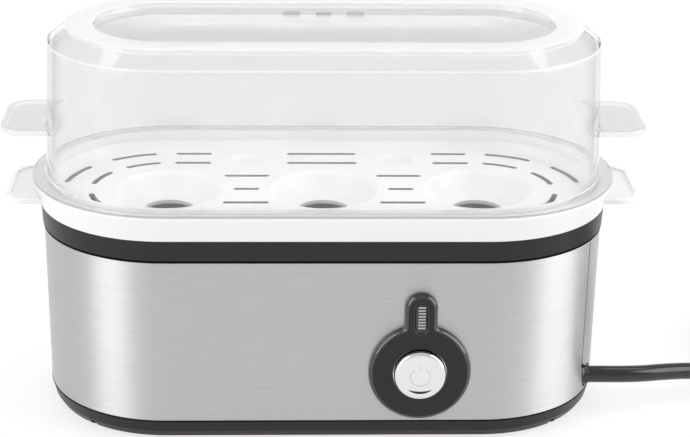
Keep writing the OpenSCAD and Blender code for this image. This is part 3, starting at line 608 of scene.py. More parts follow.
def settle(piece: Piece) -> None:
    """Applies a piece's modifiers to its mesh.

    Args:
        piece: The piece.
    """
    bpy.context.view_layer.update()
    graph = bpy.context.evaluated_depsgraph_get()
    mesh = bpy.data.meshes.new_from_object(piece.evaluated_get(graph))
    piece.modifiers.clear()
    old, piece.data = piece.data, mesh
    name = old.name
    bpy.data.meshes.remove(old)
    mesh.name = name


def combine(target: Piece, tool: Piece, how: Cut) -> None:
    """Joins a tool to a piece or takes it away, and removes the tool.

    Args:
        target: The piece, whose mesh is replaced by the result.
        tool: The closed solid that works on it.
        how: Whether it is joined or taken away.
    """
    step = target.modifiers.new(how.name.lower(), "BOOLEAN")
    step.operation = how.value
    step.object = tool
    step.solver = "EXACT"
    settle(target)
    bpy.data.objects.remove(tool)


class Finishes:
    """The finishes of all pieces, by the record's material slots."""

    def __init__(self) -> None:
        """Builds each material once."""
        plastics = (
            # Dark grey ABS, spark-eroded: soft sheen, lighter where an edge catches the lamps
            MouldedPlastic("abs_anthracite", "#18181a", 0.36, Skin(edge_mm=0.1), ior=1.4),
            # The same ABS with a polished skin, which mirrors the lamps in narrow lines
            MouldedPlastic("abs_polished", "#19191b", 0.13, POLISHED, ior=1.75, vary=0.02),
            # White polypropylene, polished: bright, slightly soft in the shade
            MouldedPlastic("polypropylene_white", "#e2e2e1", 0.28, Skin(9.0, 0.0, 0.0), 1.49, 0.006, 0.01),
            # The same plastic inside the steam slots, darker as painted shade, since so narrow a slot holds
            # little light
            MouldedPlastic("polypropylene_painted_slot_shade", "#7c7c7b", 0.5, Skin(0.8, 0.0, 0.0), 1.49, 0.006, 0.01),
            # Moulded rubber of the feet: dull, with a coarse skin
            MouldedPlastic("rubber_black", "#1b1b1c", 0.62, Skin(0.6, 0.03)),
            # Dull black of the rings at the steel's joints, painted shadow of the gaps there, which hardly
            # mirrors anything
            MouldedPlastic("painted_shadow_black", "#050505", 0.9, Skin(0.6, 0.03, 0.0), ior=1.2),
            # Silicone of the dish's seal: a matt brick red
            MouldedPlastic("silicone_red", "#a8483a", 0.5),
            # Pressed phenolic of the thermostat: a hard brown with an even half gloss
            MouldedPlastic("phenolic_brown", "#3a2a22", 0.45),
            # Unglazed steatite of the fuse: chalky and slightly warm
            MouldedPlastic("steatite_white", "#e4e0d6", 0.55),
            # Natural nylon of the small holders: cream, with a waxy sheen
            MouldedPlastic("nylon_natural", "#e0dccf", 0.45),
            # Extruded sleeving of the leads: plain colours with a low gloss
            MouldedPlastic("sleeving_brown", "#6b4026", 0.45),
            MouldedPlastic("sleeving_blue", "#33589c", 0.45),
            MouldedPlastic("sleeving_green", "#7f9c34", 0.45),
            MouldedPlastic("sleeving_white", "#d8d4ca", 0.45),
            # Black PVC, extruded: a smooth sheath with a long narrow gloss
            MouldedPlastic("pvc_black", "#0d0d0e", 0.16, POLISHED, ior=1.6, vary=0.02),
            # Acrylic of the lamp's window, drawn dark as painted shade of the unlit hollow behind it, with a
            # sharp gloss
            MouldedPlastic("acrylic_window_painted_shade", "#2b2a2b", 0.14, POLISHED, vary=0.02),
            # Clear ridges on the window, drawn pale as a painted glint of the room's light on each ridge
            MouldedPlastic("acrylic_ridges_painted_glint", "#a6a6a5", 0.25, POLISHED, vary=0.02),
        )
        metals = (
            # Drawn stainless steel of the water dish: grey, with a broad soft gloss
            PlainMetal("steel_drawn", "#6a6967", 0.3),
            # Zinc-plated steel of clamps and nuts: pale and slightly blue
            PlainMetal("steel_zinc_plated", "#b4b7ba", 0.35),
            # Blackened steel of the screws in the base: dull and as dark as the plastic round them
            PlainMetal("steel_blackened", "#222224", 0.5),
            # Cast aluminium of the heat spreader: dull, with a sandy skin
            PlainMetal("aluminium_cast", "#b0b3b6", 0.5, 0.6),
            # Annealed steel sheath of the heating element: dark grey, hardly glossy
            PlainMetal("element_sheath", "#6d6f70", 0.5, 0.8),
            # Turned brass of the terminals: yellow, with a clear gloss
            PlainMetal("brass_turned", "#b89a58", 0.3),
            # Nickel plating of the plug's pins: bright and slightly warm
            PlainMetal("nickel_plated", "#cfcfca", 0.2),
            # Chromed ABS: a mirror that a thin plating leaves slightly soft
            PlainMetal("chrome_on_abs", "#e6e6e7", 0.16, 3.0),
        )
        others = (
            # Brushed stainless sheet: each lamp becomes an upright band, crossed by fine level lines
            BrushedSteel("steel_brushed", "#cac9c9"),
            # Clear polished styrene of the lid: its low IOR keeps the walls behind each other from breaking
            # into dark lines, its gloss is the coat's, and walls seen along their length look greyer
            ClearPlastic("styrene_clear", "#eeeeef", 0.03, 1.03, haze=0.05, coat=1.0, grazing="#bcbcbe"),
            # The same styrene, matt and near white, as painted light: the ledge, the shoulder's edge and the
            # foot look white
            ClearPlastic("styrene_matt_painted_light", "#ebebeb", 0.5, 1.2, haze=0.5, coat=0.3),
            # The same styrene at its cut edges, drawn grey as painted shade: the flange and the vents show a
            # grey line
            ClearPlastic("styrene_edge_painted_shade", "#b4b4b7", 0.2, 1.2, haze=0.3, coat=0.5),
            # The same styrene, hazy and light grey, as painted light: the step inside the ledge looks softly
            # lit and ends the view through it
            ClearPlastic("styrene_inner_painted_light", "#dcdcdd", 0.5, 1.2, haze=0.7),
            # Glass of the lamp: clear, with a warm tint
            ClearPlastic("lamp_glass", "#f6d9bd", 0.02, 1.5, flow_mm=4.0),
        )
        made = {finish.name: finish.material() for finish in plastics + metals + others}
        # Copies of the lid's styrene that paint light and shade onto chosen faces
        self.matt_painted_light = made["styrene_matt_painted_light"]
        self.edge = made["styrene_edge_painted_shade"]
        self.inner = made["styrene_inner_painted_light"]
        # Darker copy of the tray's plastic: painted shade on the walls of the steam slots
        self.slots = made["polypropylene_painted_slot_shade"]
        # Pale acrylic of the window's ridges: a painted glint
        self.ridges = made["acrylic_ridges_painted_glint"]
        self.polished = made["abs_polished"]
        # Black of the rings of painted shadow at the steel's joints
        self.painted_gap_shadow = made["painted_shadow_black"]
        self.mark = made["nickel_plated"]
        # Dark ABS of the painted reflection low on the button
        self.painted_reflection = made["abs_anthracite"]
        self.by_node: dict[str, Material] = {"base_screws": made["steel_blackened"]}
        self.by_slot: dict[str, Material] = {
            "dark_plastic": made["abs_anthracite"],
            "brushed_steel": made["steel_brushed"],
            "dish_steel": made["steel_drawn"],
            "zinc_steel": made["steel_zinc_plated"],
            "foot_rubber": made["rubber_black"],
            "silicone": made["silicone_red"],
            "spreader_aluminium": made["aluminium_cast"],
            "element_sheath": made["element_sheath"],
            "brass": made["brass_turned"],
            "phenolic": made["phenolic_brown"],
            "fuse_ceramic": made["steatite_white"],
            # The lamp's window, drawn dark as painted shade
            "lens_plastic": made["acrylic_window_painted_shade"],
            "lamp_glass": made["lamp_glass"],
            "natural_plastic": made["nylon_natural"],
            "button_chrome": made["chrome_on_abs"],
            "lead_brown": made["sleeving_brown"],
            "lead_blue": made["sleeving_blue"],
            "lead_green": made["sleeving_green"],
            "lead_white": made["sleeving_white"],
            "cord_rubber": made["pvc_black"],
            "plug_nickel": made["nickel_plated"],
            "tray_plastic": made["polypropylene_white"],
            "lid_plastic": made["styrene_clear"],
        }

    def coat_frame(self, frame: dict) -> None:
        """Gives each CAD node its own finish, or else that of its slot in the record.
        """
        slots = {part["node"]: part["material_slot"] for part in frame["record"]["subparts"]}
        for name, piece in frame["nodes"].items():
            for place in piece.material_slots:
                place.material = self.by_node.get(name, self.by_slot[slots[name]])

    def dress(
        self,
        piece: Piece,
        body: Body,
        slot: str,
        stands_for: tuple[str, ...] = (),
        finish: Material | None = None,
        angle: float = 35.0,
    ) -> Piece:
        """Gives a new piece its finish, shading and place in the assembly.

        Args:
            piece: The piece.
            body: The CAD body that it rides on.
            slot: The record's material slot that it belongs to.
            stands_for: CAD nodes that it replaces.
            finish: Its material, where that isn't its slot's.
            angle: Edges that turn by more than this, in degrees, stay sharp.
        Returns:
            The piece.
        """
        piece.data.materials.clear()
        piece.data.materials.append(finish or self.by_slot[slot])
        if piece.type == "MESH":
            mesh = piece.data
            mesh.polygons.foreach_set("use_smooth", [True] * len(mesh.polygons))
            mesh.set_sharp_from_angle(angle=math.radians(angle))
            even = piece.modifiers.new("even_shading", "WEIGHTED_NORMAL")
            even.keep_sharp = True
            even.weight = 90
        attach(piece, body.value)
        if stands_for:
            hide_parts(*stands_for)
        return piece


@dataclass
class Studio:
    """Camera, lamps and floor of the picture."""

    eye: Point = (-18.5057, -704.6499, 343.5333)
    yaw: float = 0.0379
    pitch: float = 0.3697
    roll: float = -0.0142
    focal_px: float = 2000.0
    width_px: int = 690
    sensor_mm: float = 36.0
    floor_reach: float = 6000.0
    floor_tones: tuple[str, str] = ("#888888", "#8b8b8b")
    floor_glow: float = 0.72
    sky: float = 0.7

    def camera(self) -> None:
        """Sets up the camera at the photograph's place."""
        lens = bpy.data.cameras.new("camera")
        lens.sensor_width = self.sensor_mm
        lens.lens = self.sensor_mm * self.focal_px / self.width_px
        lens.clip_start = 0.05
        lens.clip_end = 50.0
        cy, sy = math.cos(self.yaw), math.sin(self.yaw)
        cp, sp = math.cos(self.pitch), math.sin(self.pitch)
        ahead = Vector((sy * cp, cy * cp, -sp))
        level = Vector((cy, -sy, 0.0))
        upright = Vector((sy * sp, cy * sp, cp))
        right = level * math.cos(self.roll) - upright * math.sin(self.roll)
        up = level * math.sin(self.roll) + upright * math.cos(self.roll)
        seen = bpy.data.objects.new("camera", lens)
        turned = Matrix((right, up, -ahead)).transposed()
        seen.matrix_world = Matrix.Translation(Vector(self.eye) * MM) @ turned.to_4x4()
        bpy.context.scene.collection.objects.link(seen)
        bpy.context.scene.camera = seen

    def lamp(self, name: str, place: Point, aim: Point, size: tuple[float, float], power: float) -> None:
        """Adds a softbox.

        Args:
            name: The lamp's name.
            place: Where it hangs, in metres.
            aim: The point that it faces, in metres.
            size: Width and height in metres.
            power: Watts.
        """
        data = bpy.data.lights.new(name, "AREA")
        data.shape = "RECTANGLE"
        data.size, data.size_y = size
        data.energy = power
        box = bpy.data.objects.new(name, data)
        box.location = place
        box.rotation_euler = (Vector(aim) - Vector(place)).to_track_quat("-Z", "Y").to_euler()
        bpy.context.scene.collection.objects.link(box)

    def floor(self) -> None:
        """Lays the pale floor, whose faint glow keeps shadows as light as on a lit table."""
        bm = bmesh.new()
        bmesh.ops.create_grid(bm, x_segments=1, y_segments=1, size=self.floor_reach)
        floor = solid("floor", bm)
        made, tree = fresh("studio_floor")
        place = node(tree, "ShaderNodeTexCoord").outputs["Object"]
        paper = node(tree, "ShaderNodeTexNoise", {"Vector": place, "Scale": 3.0, "Detail": 2.0})
        low, high = (linear(colour) for colour in self.floor_tones)
        mixed = {"Factor": paper.outputs["Fac"], MIX_A: low, MIX_B: high}
        tone = node(tree, "ShaderNodeMix", mixed, data_type="RGBA")
        surface = {
            "Base Color": tone.outputs[MIX_OUT],
            "Roughness": 0.8,
            "Emission Color": linear("#ffffff"),
            "Emission Strength": self.floor_glow,
        }
        shader = node(tree, "ShaderNodeBsdfPrincipled", surface)
        node(tree, "ShaderNodeOutputMaterial", {"Surface": shader.outputs[0]})
        floor.data.materials.append(made)

    def light(self) -> None:
        """Lights the room: white all round, one softbox above, one behind and one at each side."""
        scene = bpy.context.scene
        scene.view_settings.view_transform = "Standard"
        world = bpy.data.worlds.new("studio")
        world.use_nodes = True
        white = world.node_tree.nodes["Background"].inputs
        white["Color"].default_value = linear("#ffffff")
        white["Strength"].default_value = self.sky
        scene.world = world
        self.lamp("overhead", (0.0, 0.25, 1.4), (0, 0, 0), (1.9, 0.45), 4.4)
        self.lamp("back_panel", (0.0, 1.6, 0.35), (0, 0, 0.35), (1.8, 0.49), 2.2)
        self.lamp("left_box", (-0.86, -0.62, 0.5), (0, 0, 0.06), (0.6, 1.0), 6.0)
        self.lamp("right_box", (1.04, -0.22, 0.5), (0, 0, 0.06), (0.9, 1.0), 8.5)


@dataclass
class Plug:
    """The round plug on the cord's end, lying on its back with the pins up."""

    at: tuple[float, float] = (250.0, -4.0)
    entry_x: float = 213.0
    entry_z: float = 11.2
    radius: float = 18.6
    back_r: float = 16.0
    neck_r: float = 17.4
    neck_z: float = 19.0
    height: float = 22.0
    channel: Point = (6.4, 3.0, 20.0)
    channel_out: float = 18.0
    channel_z: float = 18.0
    boot_r: float = 3.9
    boot_end_r: float = 6.0
    boot_run: float = 21.0
    boot_in: float = 15.0
    ribs: int = 6
    rib_start: float = 1.5
    rib_pitch: float = 2.4
    # Change of radius, way along the boot and rounding of each corner of a rib
    rib: tuple[Corner, ...] = ((0.0, 0.0, 0.15), (-0.55, 0.35, 0.15), (-0.5, 1.0, 0.15), (0.12, 1.35, 0.15))
    pin_gap: float = 9.5
    pin_r: float = 2.4
    pin_tip_r: float = 1.2
    pin_top: float = 41.0

    def boot(self) -> Piece:
        """Turns the ribbed boot round the cord, which widens towards the housing.

        Returns:
            The boot as a closed solid.
        """
        run = self.at[0] - self.boot_in - self.entry_x
        section: list[Corner] = [(0.0, 0.0, 0.0), (self.boot_r, 0.0, 0.3)]
        for i in range(self.ribs):
            start = self.rib_start + i * self.rib_pitch
            r = self.boot_r + (self.boot_end_r - self.boot_r) * start / self.boot_run
            section += [(r + out, start + along, rounding) for out, along, rounding in self.rib]
        section += [(self.boot_end_r, self.boot_run, 0.0), (self.boot_end_r, run, 0.0), (0.0, run, 0.0)]
        bm = bmesh.new()
        wire(bm, section, segments=2)
        turn(bm, 40)
        at = Matrix.Translation((self.entry_x, self.at[1], self.entry_z))
        return solid("boot", bm, at @ Matrix.Rotation(math.pi / 2, 4, "Y"))

    def body(self) -> Piece:
        """Turns the housing, sinks its earth channels and joins the boot to it.

        Returns:
            The housing.
        """
        bm = bmesh.new()
        section = [
            (0.0, 0.0, 0.0),
            (self.back_r, 0.0, 2.0),
            (self.radius, 2.6, 2.0),
            (self.radius, 15.0, 1.2),
            (self.neck_r, self.neck_z, 0.8),
            (self.neck_r, self.height, 0.7),
            (0.0, self.height, 0.0),
        ]
        wire(bm, section)
        turn(bm, 72)
        housing = solid("plug_housing", bm, Matrix.Translation((*self.at, 0)))
        for side in (-1, 1):
            bm = bmesh.new()
            bmesh.ops.create_cube(bm, size=1.0)
            bmesh.ops.scale(bm, vec=self.channel, verts=bm.verts)
            place = Matrix.Translation((self.at[0], self.at[1] + side * self.channel_out, self.channel_z))
            combine(housing, solid("channel", bm, place), Cut.TAKE_AWAY)
        combine(housing, self.boot(), Cut.JOIN)
        return housing

    def pins(self) -> Piece:
        """Turns one contact pin with a rounded tip and doubles it.

        Returns:
            The two pins as one piece.
        """
        bm = bmesh.new()
        section = [
            (0.0, self.height, 0.0),
            (self.pin_r, self.height, 0.0),
            (self.pin_r, self.pin_top - 2.0, 0.8),
            (self.pin_tip_r, self.pin_top, 0.8),
            (0.0, self.pin_top, 0.0),
        ]
        wire(bm, section)
        turn(bm, 32)
        bmesh.ops.translate(bm, vec=(-self.pin_gap, 0, 0), verts=bm.verts)
        whole = bm.verts[:] + bm.edges[:] + bm.faces[:]
        other = bmesh.ops.duplicate(bm, geom=whole)["geom"]
        bmesh.ops.translate(bm, vec=(2 * self.pin_gap, 0, 0), verts=picked(other, Vert))
        return solid("plug_contact_pins", bm, Matrix.Translation((*self.at, 0)))


@dataclass
class MainsCord:
    """The cord from its exit in the right end to the plug, with the unseen length coiled and tied."""

    diameter: float = 6.6
    clearance: float = 0.03
    exit: Point = (100.732, -18.0, 13.7)
    straight: float = 4.0
    lead: tuple[Point, ...] = (
        (112.0, -17.9, 13.6),
        (121.0, -16.3, 13.0),
        (132.0, -12.6, 12.0),
        (142.0, -9.4, 10.8),
        (154.0, -6.6, 8.9),
        (168.0, -4.8, 6.5),
        (181.0, -4.1, 4.6),
        (189.4, -4.0, 4.0),
        (196.0, -4.0, 4.0),
    )
    coil_at: tuple[float, float] = (202.0, 34.0)
    coil_r: float = 38.0
    turns: int = 3
    points_per_turn: int = 24
    pitch: float = 7.3
    low: float = 4.0
    layer: float = 7.2
    plug_entry: Point = (213.0, -4.0, 11.2)
    length_m: float = 0.73
    tie_t: float = 0.8
    tie_w: float = 5.0
    tie_corner: float = 1.6
    slack_in: float = 0.6
    slack_out: float = 0.2
    off_floor: float = 0.05
    plug: Plug = field(default_factory=Plug)

    def route(self) -> list[Point]:
        """Follows the cord's centre line through the lead and the coil, which winds in and then out again.

        Returns:
            The points of the line, from exit to plug.
        """
        x, y, z = self.exit
        points: list[Point] = [self.exit, (x + self.straight, y, z), *self.lead]
        for i in range(self.points_per_turn * self.turns + 1):
            wound = i / self.points_per_turn
            r = self.coil_r - self.pitch * min(wound, self.turns - wound)
            rise = min(max((wound - self.turns / 2) * 2 + 0.5, 0.0), 1.0)
            a = 2 * math.pi * wound
            across = self.coil_at[0] + r * math.sin(a)
            back = self.coil_at[1] - r * math.cos(a)
            points.append((across, back, self.low + self.layer * rise))
        points.append(self.plug_entry)
        return points

    def build(self) -> Piece:
        """Draws the cord as one smooth curve.

        Returns:
            The cord.
        """
        data = bpy.data.curves.new("mains_cord", "CURVE")
        data.dimensions = "3D"
        data.bevel_depth = (self.diameter / 2 - self.clearance) * MM
        data.bevel_resolution = 5
        data.resolution_u = 4
        data.use_fill_caps = True
        points = self.route()
        line = data.splines.new("BEZIER")
        line.bezier_points.add(len(points) - 1)
        for knot, point in zip(line.bezier_points, points):
            knot.co = Vector(point) * MM
            knot.handle_left_type = knot.handle_right_type = "AUTO"
        cord = bpy.data.objects.new("mains_cord", data)
        bpy.context.scene.collection.objects.link(cord)
        return cord

    def tie(self) -> Piece:
        """Makes the flat tie that holds the coil together at its right side.

        Returns:
            The tie.
        """
        reach = self.diameter / 2 + self.tie_t
        near = self.coil_r - self.pitch * self.turns / 2 - reach - self.slack_in
        far = self.coil_r + reach + self.slack_out
        bottom, top = self.off_floor, self.low + self.layer + reach + self.slack_out
        corner = self.tie_corner
        bm = bmesh.new()
        outer = [(near, bottom, corner), (far, bottom, corner), (far, top, corner), (near, top, corner)]
        wire(bm, outer, closed=True, segments=5)
        band = bmesh.ops.extrude_edge_only(bm, edges=bm.edges[:])["geom"]
        bmesh.ops.translate(bm, vec=(0, self.tie_w, 0), verts=picked(band, Vert))
        bmesh.ops.recalc_face_normals(bm, faces=bm.faces)
        bmesh.ops.solidify(bm, geom=bm.faces[:], thickness=self.tie_t)
        bmesh.ops.recalc_face_normals(bm, faces=bm.faces)
        soften(bm, 0.2, 2)
        x, y = self.coil_at
        return solid("coil_tie_band", bm, Matrix.Translation((x, y - self.tie_w / 2, 0)))

    def assemble(self, finishes: Finishes, earth: Piece) -> list[Piece]:
        """Makes and dresses cord, tie and plug.

        Args:
            finishes: The finishes of all pieces.
            earth: The CAD node of the plug's earth contacts; not used.
        Returns:
            The new pieces.
        """
        slot = "cord_rubber"
        cord = finishes.dress(self.build(), Body.BASE, slot, ("cord_lead", "cord_coil"))
        tie = finishes.dress(self.tie(), Body.BASE, slot, ("coil_tie",))
        housing = finishes.dress(self.plug.body(), Body.BASE, slot, ("plug_body",))
        pins = finishes.dress(self.plug.pins(), Body.BASE, "plug_nickel", ("plug_pins",))
        tuple(c * MM for c in self.exit)
        return [cord, tie, housing, pins]


@dataclass
class CordGuard:
    """The short rubber guard where the cord leaves the steel."""

    exit_x: float = 100.332
    y: float = -18.0
    z: float = 13.7
    bore_r: float = 3.35
    body_r: float = 4.5
    flange_r: float = 6.5
    neck: float = 8.0

    def build(self) -> Piece:
        """Turns the guard with its inner flange and rounded lip.

        Returns:
            The guard.
        """
        inside = self.exit_x - self.neck
        lip = self.exit_x + 0.4
        section = [
            (self.bore_r, inside - 6.0, 0.0),
            (self.bore_r + 0.95, inside - 6.0, 0.3),
            (self.body_r, inside - 3.0, 0.3),
            (self.flange_r, inside - 3.0, 0.3),
            (self.flange_r, inside, 0.3),
            (self.body_r, inside, 0.2),
            (self.body_r, self.exit_x - 2.0, 0.3),
            (self.bore_r + 0.75, self.exit_x - 1.2, 0.3),
            (self.bore_r + 0.45, lip, 0.2),
            (self.bore_r, lip, 0.0),
        ]
        bm = bmesh.new()
        wire(bm, section, closed=True)
        turn(bm, 40)
        lie = Matrix.Translation((0, self.y, self.z)) @ Matrix.Rotation(math.pi / 2, 4, "Y")
        return solid("cord_guard", bm, lie)

    def assemble(self, finishes: Finishes) -> list[Piece]:
        """Makes and dresses the guard."""
        return [finishes.dress(self.build(), Body.BASE, "cord_rubber", ("cord_grommet",))]


@dataclass
class Ear:
    """A flat grip that stands out of one end of the tray or the lid."""

    tip: float
    root_r: float
    low: float
    thick: float = 2.0
    half: float = 19.0
    corner: float = 9.0
    end: float = 58.0
    rounding: float = 0.45
    rim: float = 2.0
    sink: float = 0.8

    def outline(self, inset: float) -> Outline:
        """Gives the grip's outline on the right end.

        Args:
            inset: How far inside the full outline it runs.
        Returns:
            X and Y of each corner.
        """
        half, corner, root_r = self.half - inset, self.corner - inset, self.root_r + inset
        root = math.degrees(math.asin(half / root_r))
        x, y = self.tip - self.corner, self.half - self.corner
        inner = arc(self.end, 0, root_r, root, -root, 14)
        return inner + arc(x, -y, corner, -90, 0, 10) + arc(x, y, corner, 0, 90, 10)

    def build(self, side: int) -> Piece:
        """Raises the plate, rounds its edges and sinks its upper face inside a rim.

        Args:
            side: 1 for the right end, -1 for the left.
        Returns:
            The grip as a closed solid.
        """
        facing = Matrix.Rotation(0.0 if side > 0 else math.pi, 4, "Z")
        bm = bmesh.new()
        prism(bm, self.outline(0.0), self.low, self.thick)
        soften(bm, self.rounding)
        plate = solid("ear", bm, facing)
        bm = bmesh.new()
        prism(bm, self.outline(self.rim), self.low + self.thick - self.sink, self.sink + 1.0)
        soften(bm, self.rounding)
        combine(plate, solid("pocket", bm, facing), Cut.TAKE_AWAY)
        return plate


@dataclass
class Lid:
    """The clear lid: a leaning wall on a flange, a sloping shoulder and a recessed top with vents."""

    half: float = 58.0
    rim_r: float = 50.3
    rim_in: float = 45.2
    rim_z: float = 89.4
    flange: float = 1.2
    wall: float = 2.0
    foot_r: float = 45.1
    lean: float = 2.0
    shoulder_z: float = 141.2
    top_z: float = 147.2
    ledge_out: float = 35.9
    ledge_in: float = 26.1
    recess: float = 2.5
    matt_foot: float = 1.0
    seat: float = 0.05
    plug_in: float = 2.2
    ear: Ear = field(default_factory=lambda: Ear(118.2, 43.5, 109.2))
    vent_in: float = 5.0
    vent_below: float = 3.0
    vent_tool: float = 8.0
    # X, length and width of each vent
    vents: tuple[Point, ...] = ((-12.0, 7.0, 3.6), (0.0, 6.0, 2.4), (12.0, 7.0, 3.6))

    def profile(self) -> list[Corner]:
        """Draws the wall's section, from the underside of the recess round the rim to its top.

        Returns:
            The section's corners.
        """
        inside = self.foot_r - self.wall
        flange = self.rim_z + self.flange
        floor = self.top_z - self.recess
        low, seat = self.rim_z - self.plug_in, self.rim_z + self.seat
        return [
            (0.0, floor - self.wall, 0.0),
            (self.ledge_in + self.wall, floor - self.wall, 0.7),
            (self.ledge_in + self.wall, self.top_z - self.wall, 0.7),
            (self.ledge_out - 0.8, self.top_z - self.wall, 1.2),
            (inside - self.lean, self.shoulder_z - 1.0, 1.2),
            (inside, flange, 0.0),
            (inside, low, 0.3),
            (self.rim_in - 0.4, low, 0.3),
            (self.rim_in - 0.4, seat, 0.2),
            (self.rim_r, seat, 0.3),
            (self.rim_r, flange, 0.5),
            (self.foot_r, flange, 0.8),
            (self.foot_r - 0.05, flange + self.matt_foot, 0.0),
            (self.foot_r - self.lean, self.shoulder_z, 0.4),
            (self.ledge_out, self.top_z, 1.2),
            (self.ledge_in, self.top_z, 0.7),
            (self.ledge_in, floor, 0.7),
            (0.0, floor, 0.0),
        ]

    def build(self) -> Piece:
        """Carries the section round, joins the two grips and cuts the vents.

        Returns:
            The lid.
        """
        bm = bmesh.new()
        wire(bm, self.profile())
        carry_round(bm, self.half)
        cover = solid("clear_lid", bm)
        for side in (1, -1):
            combine(cover, self.ear.build(side), Cut.JOIN)
        below = self.top_z - self.recess - self.wall - self.vent_below
        for x, length, width in self.vents:
            bm = bmesh.new()
            prism(bm, capsule(length, width), 0.0, self.vent_tool)
            at = Matrix.Translation((x, self.ledge_in - self.vent_in, below))
            combine(cover, solid("vent", bm, at), Cut.TAKE_AWAY)
        return cover

    def paint_light_and_shade(self, cover: Piece, finishes: Finishes) -> None:
        """Paints light and shade on chosen faces: near-white matt ledge, crest and foot, a grey line at the
        edges of flange and vents, and a light hazy step.

        Args:
            cover: The finished lid.
            finishes: The finishes of all pieces.
        """
        # Material numbers of the near-white painted light, the grey painted shade and the light hazy step
        matt, grey, hazy = 1, 2, 3
        for finish in (finishes.matt_painted_light, finishes.edge, finishes.inner):
            cover.data.materials.append(finish)
        flange = self.rim_z + self.flange
        step_z = self.top_z - self.recess - self.wall + 0.05
        for face in cover.data.polygons:
            x, y, z = face.center / MM
            out = math.hypot(max(abs(x) - self.half, 0.0), y)
            slope = abs(face.normal.z)
            ledge = face.normal.z > 0.8 and z > self.top_z - 0.6
            crest = abs(z - self.shoulder_z) < 0.5 and out > self.foot_r - self.lean - 0.6
            foot = out < self.rim_in and z < flange + self.matt_foot
            rim = slope < 0.8 and out > self.rim_r - 0.6 and z < flange
            vent = slope < 0.5 and out < self.ledge_in - 2.0 and z > self.shoulder_z
            step = self.ledge_in + 1.0 < out < self.ledge_out - 0.5 and z > step_z
            if ledge or crest or foot:
                face.material_index = matt
            elif rim or vent:
                face.material_index = grey
            elif step:
                face.material_index = hazy

    def assemble(self, finishes: Finishes) -> list[Piece]:
        """Makes and dresses the lid.

        Args:
            finishes: The finishes of all pieces.
        Returns:
            The lid alone.
        """
        cover = finishes.dress(self.build(), Body.LID, "lid_plastic", ("lid_cover",))
        self.paint_light_and_shade(cover, finishes)
        return [cover]


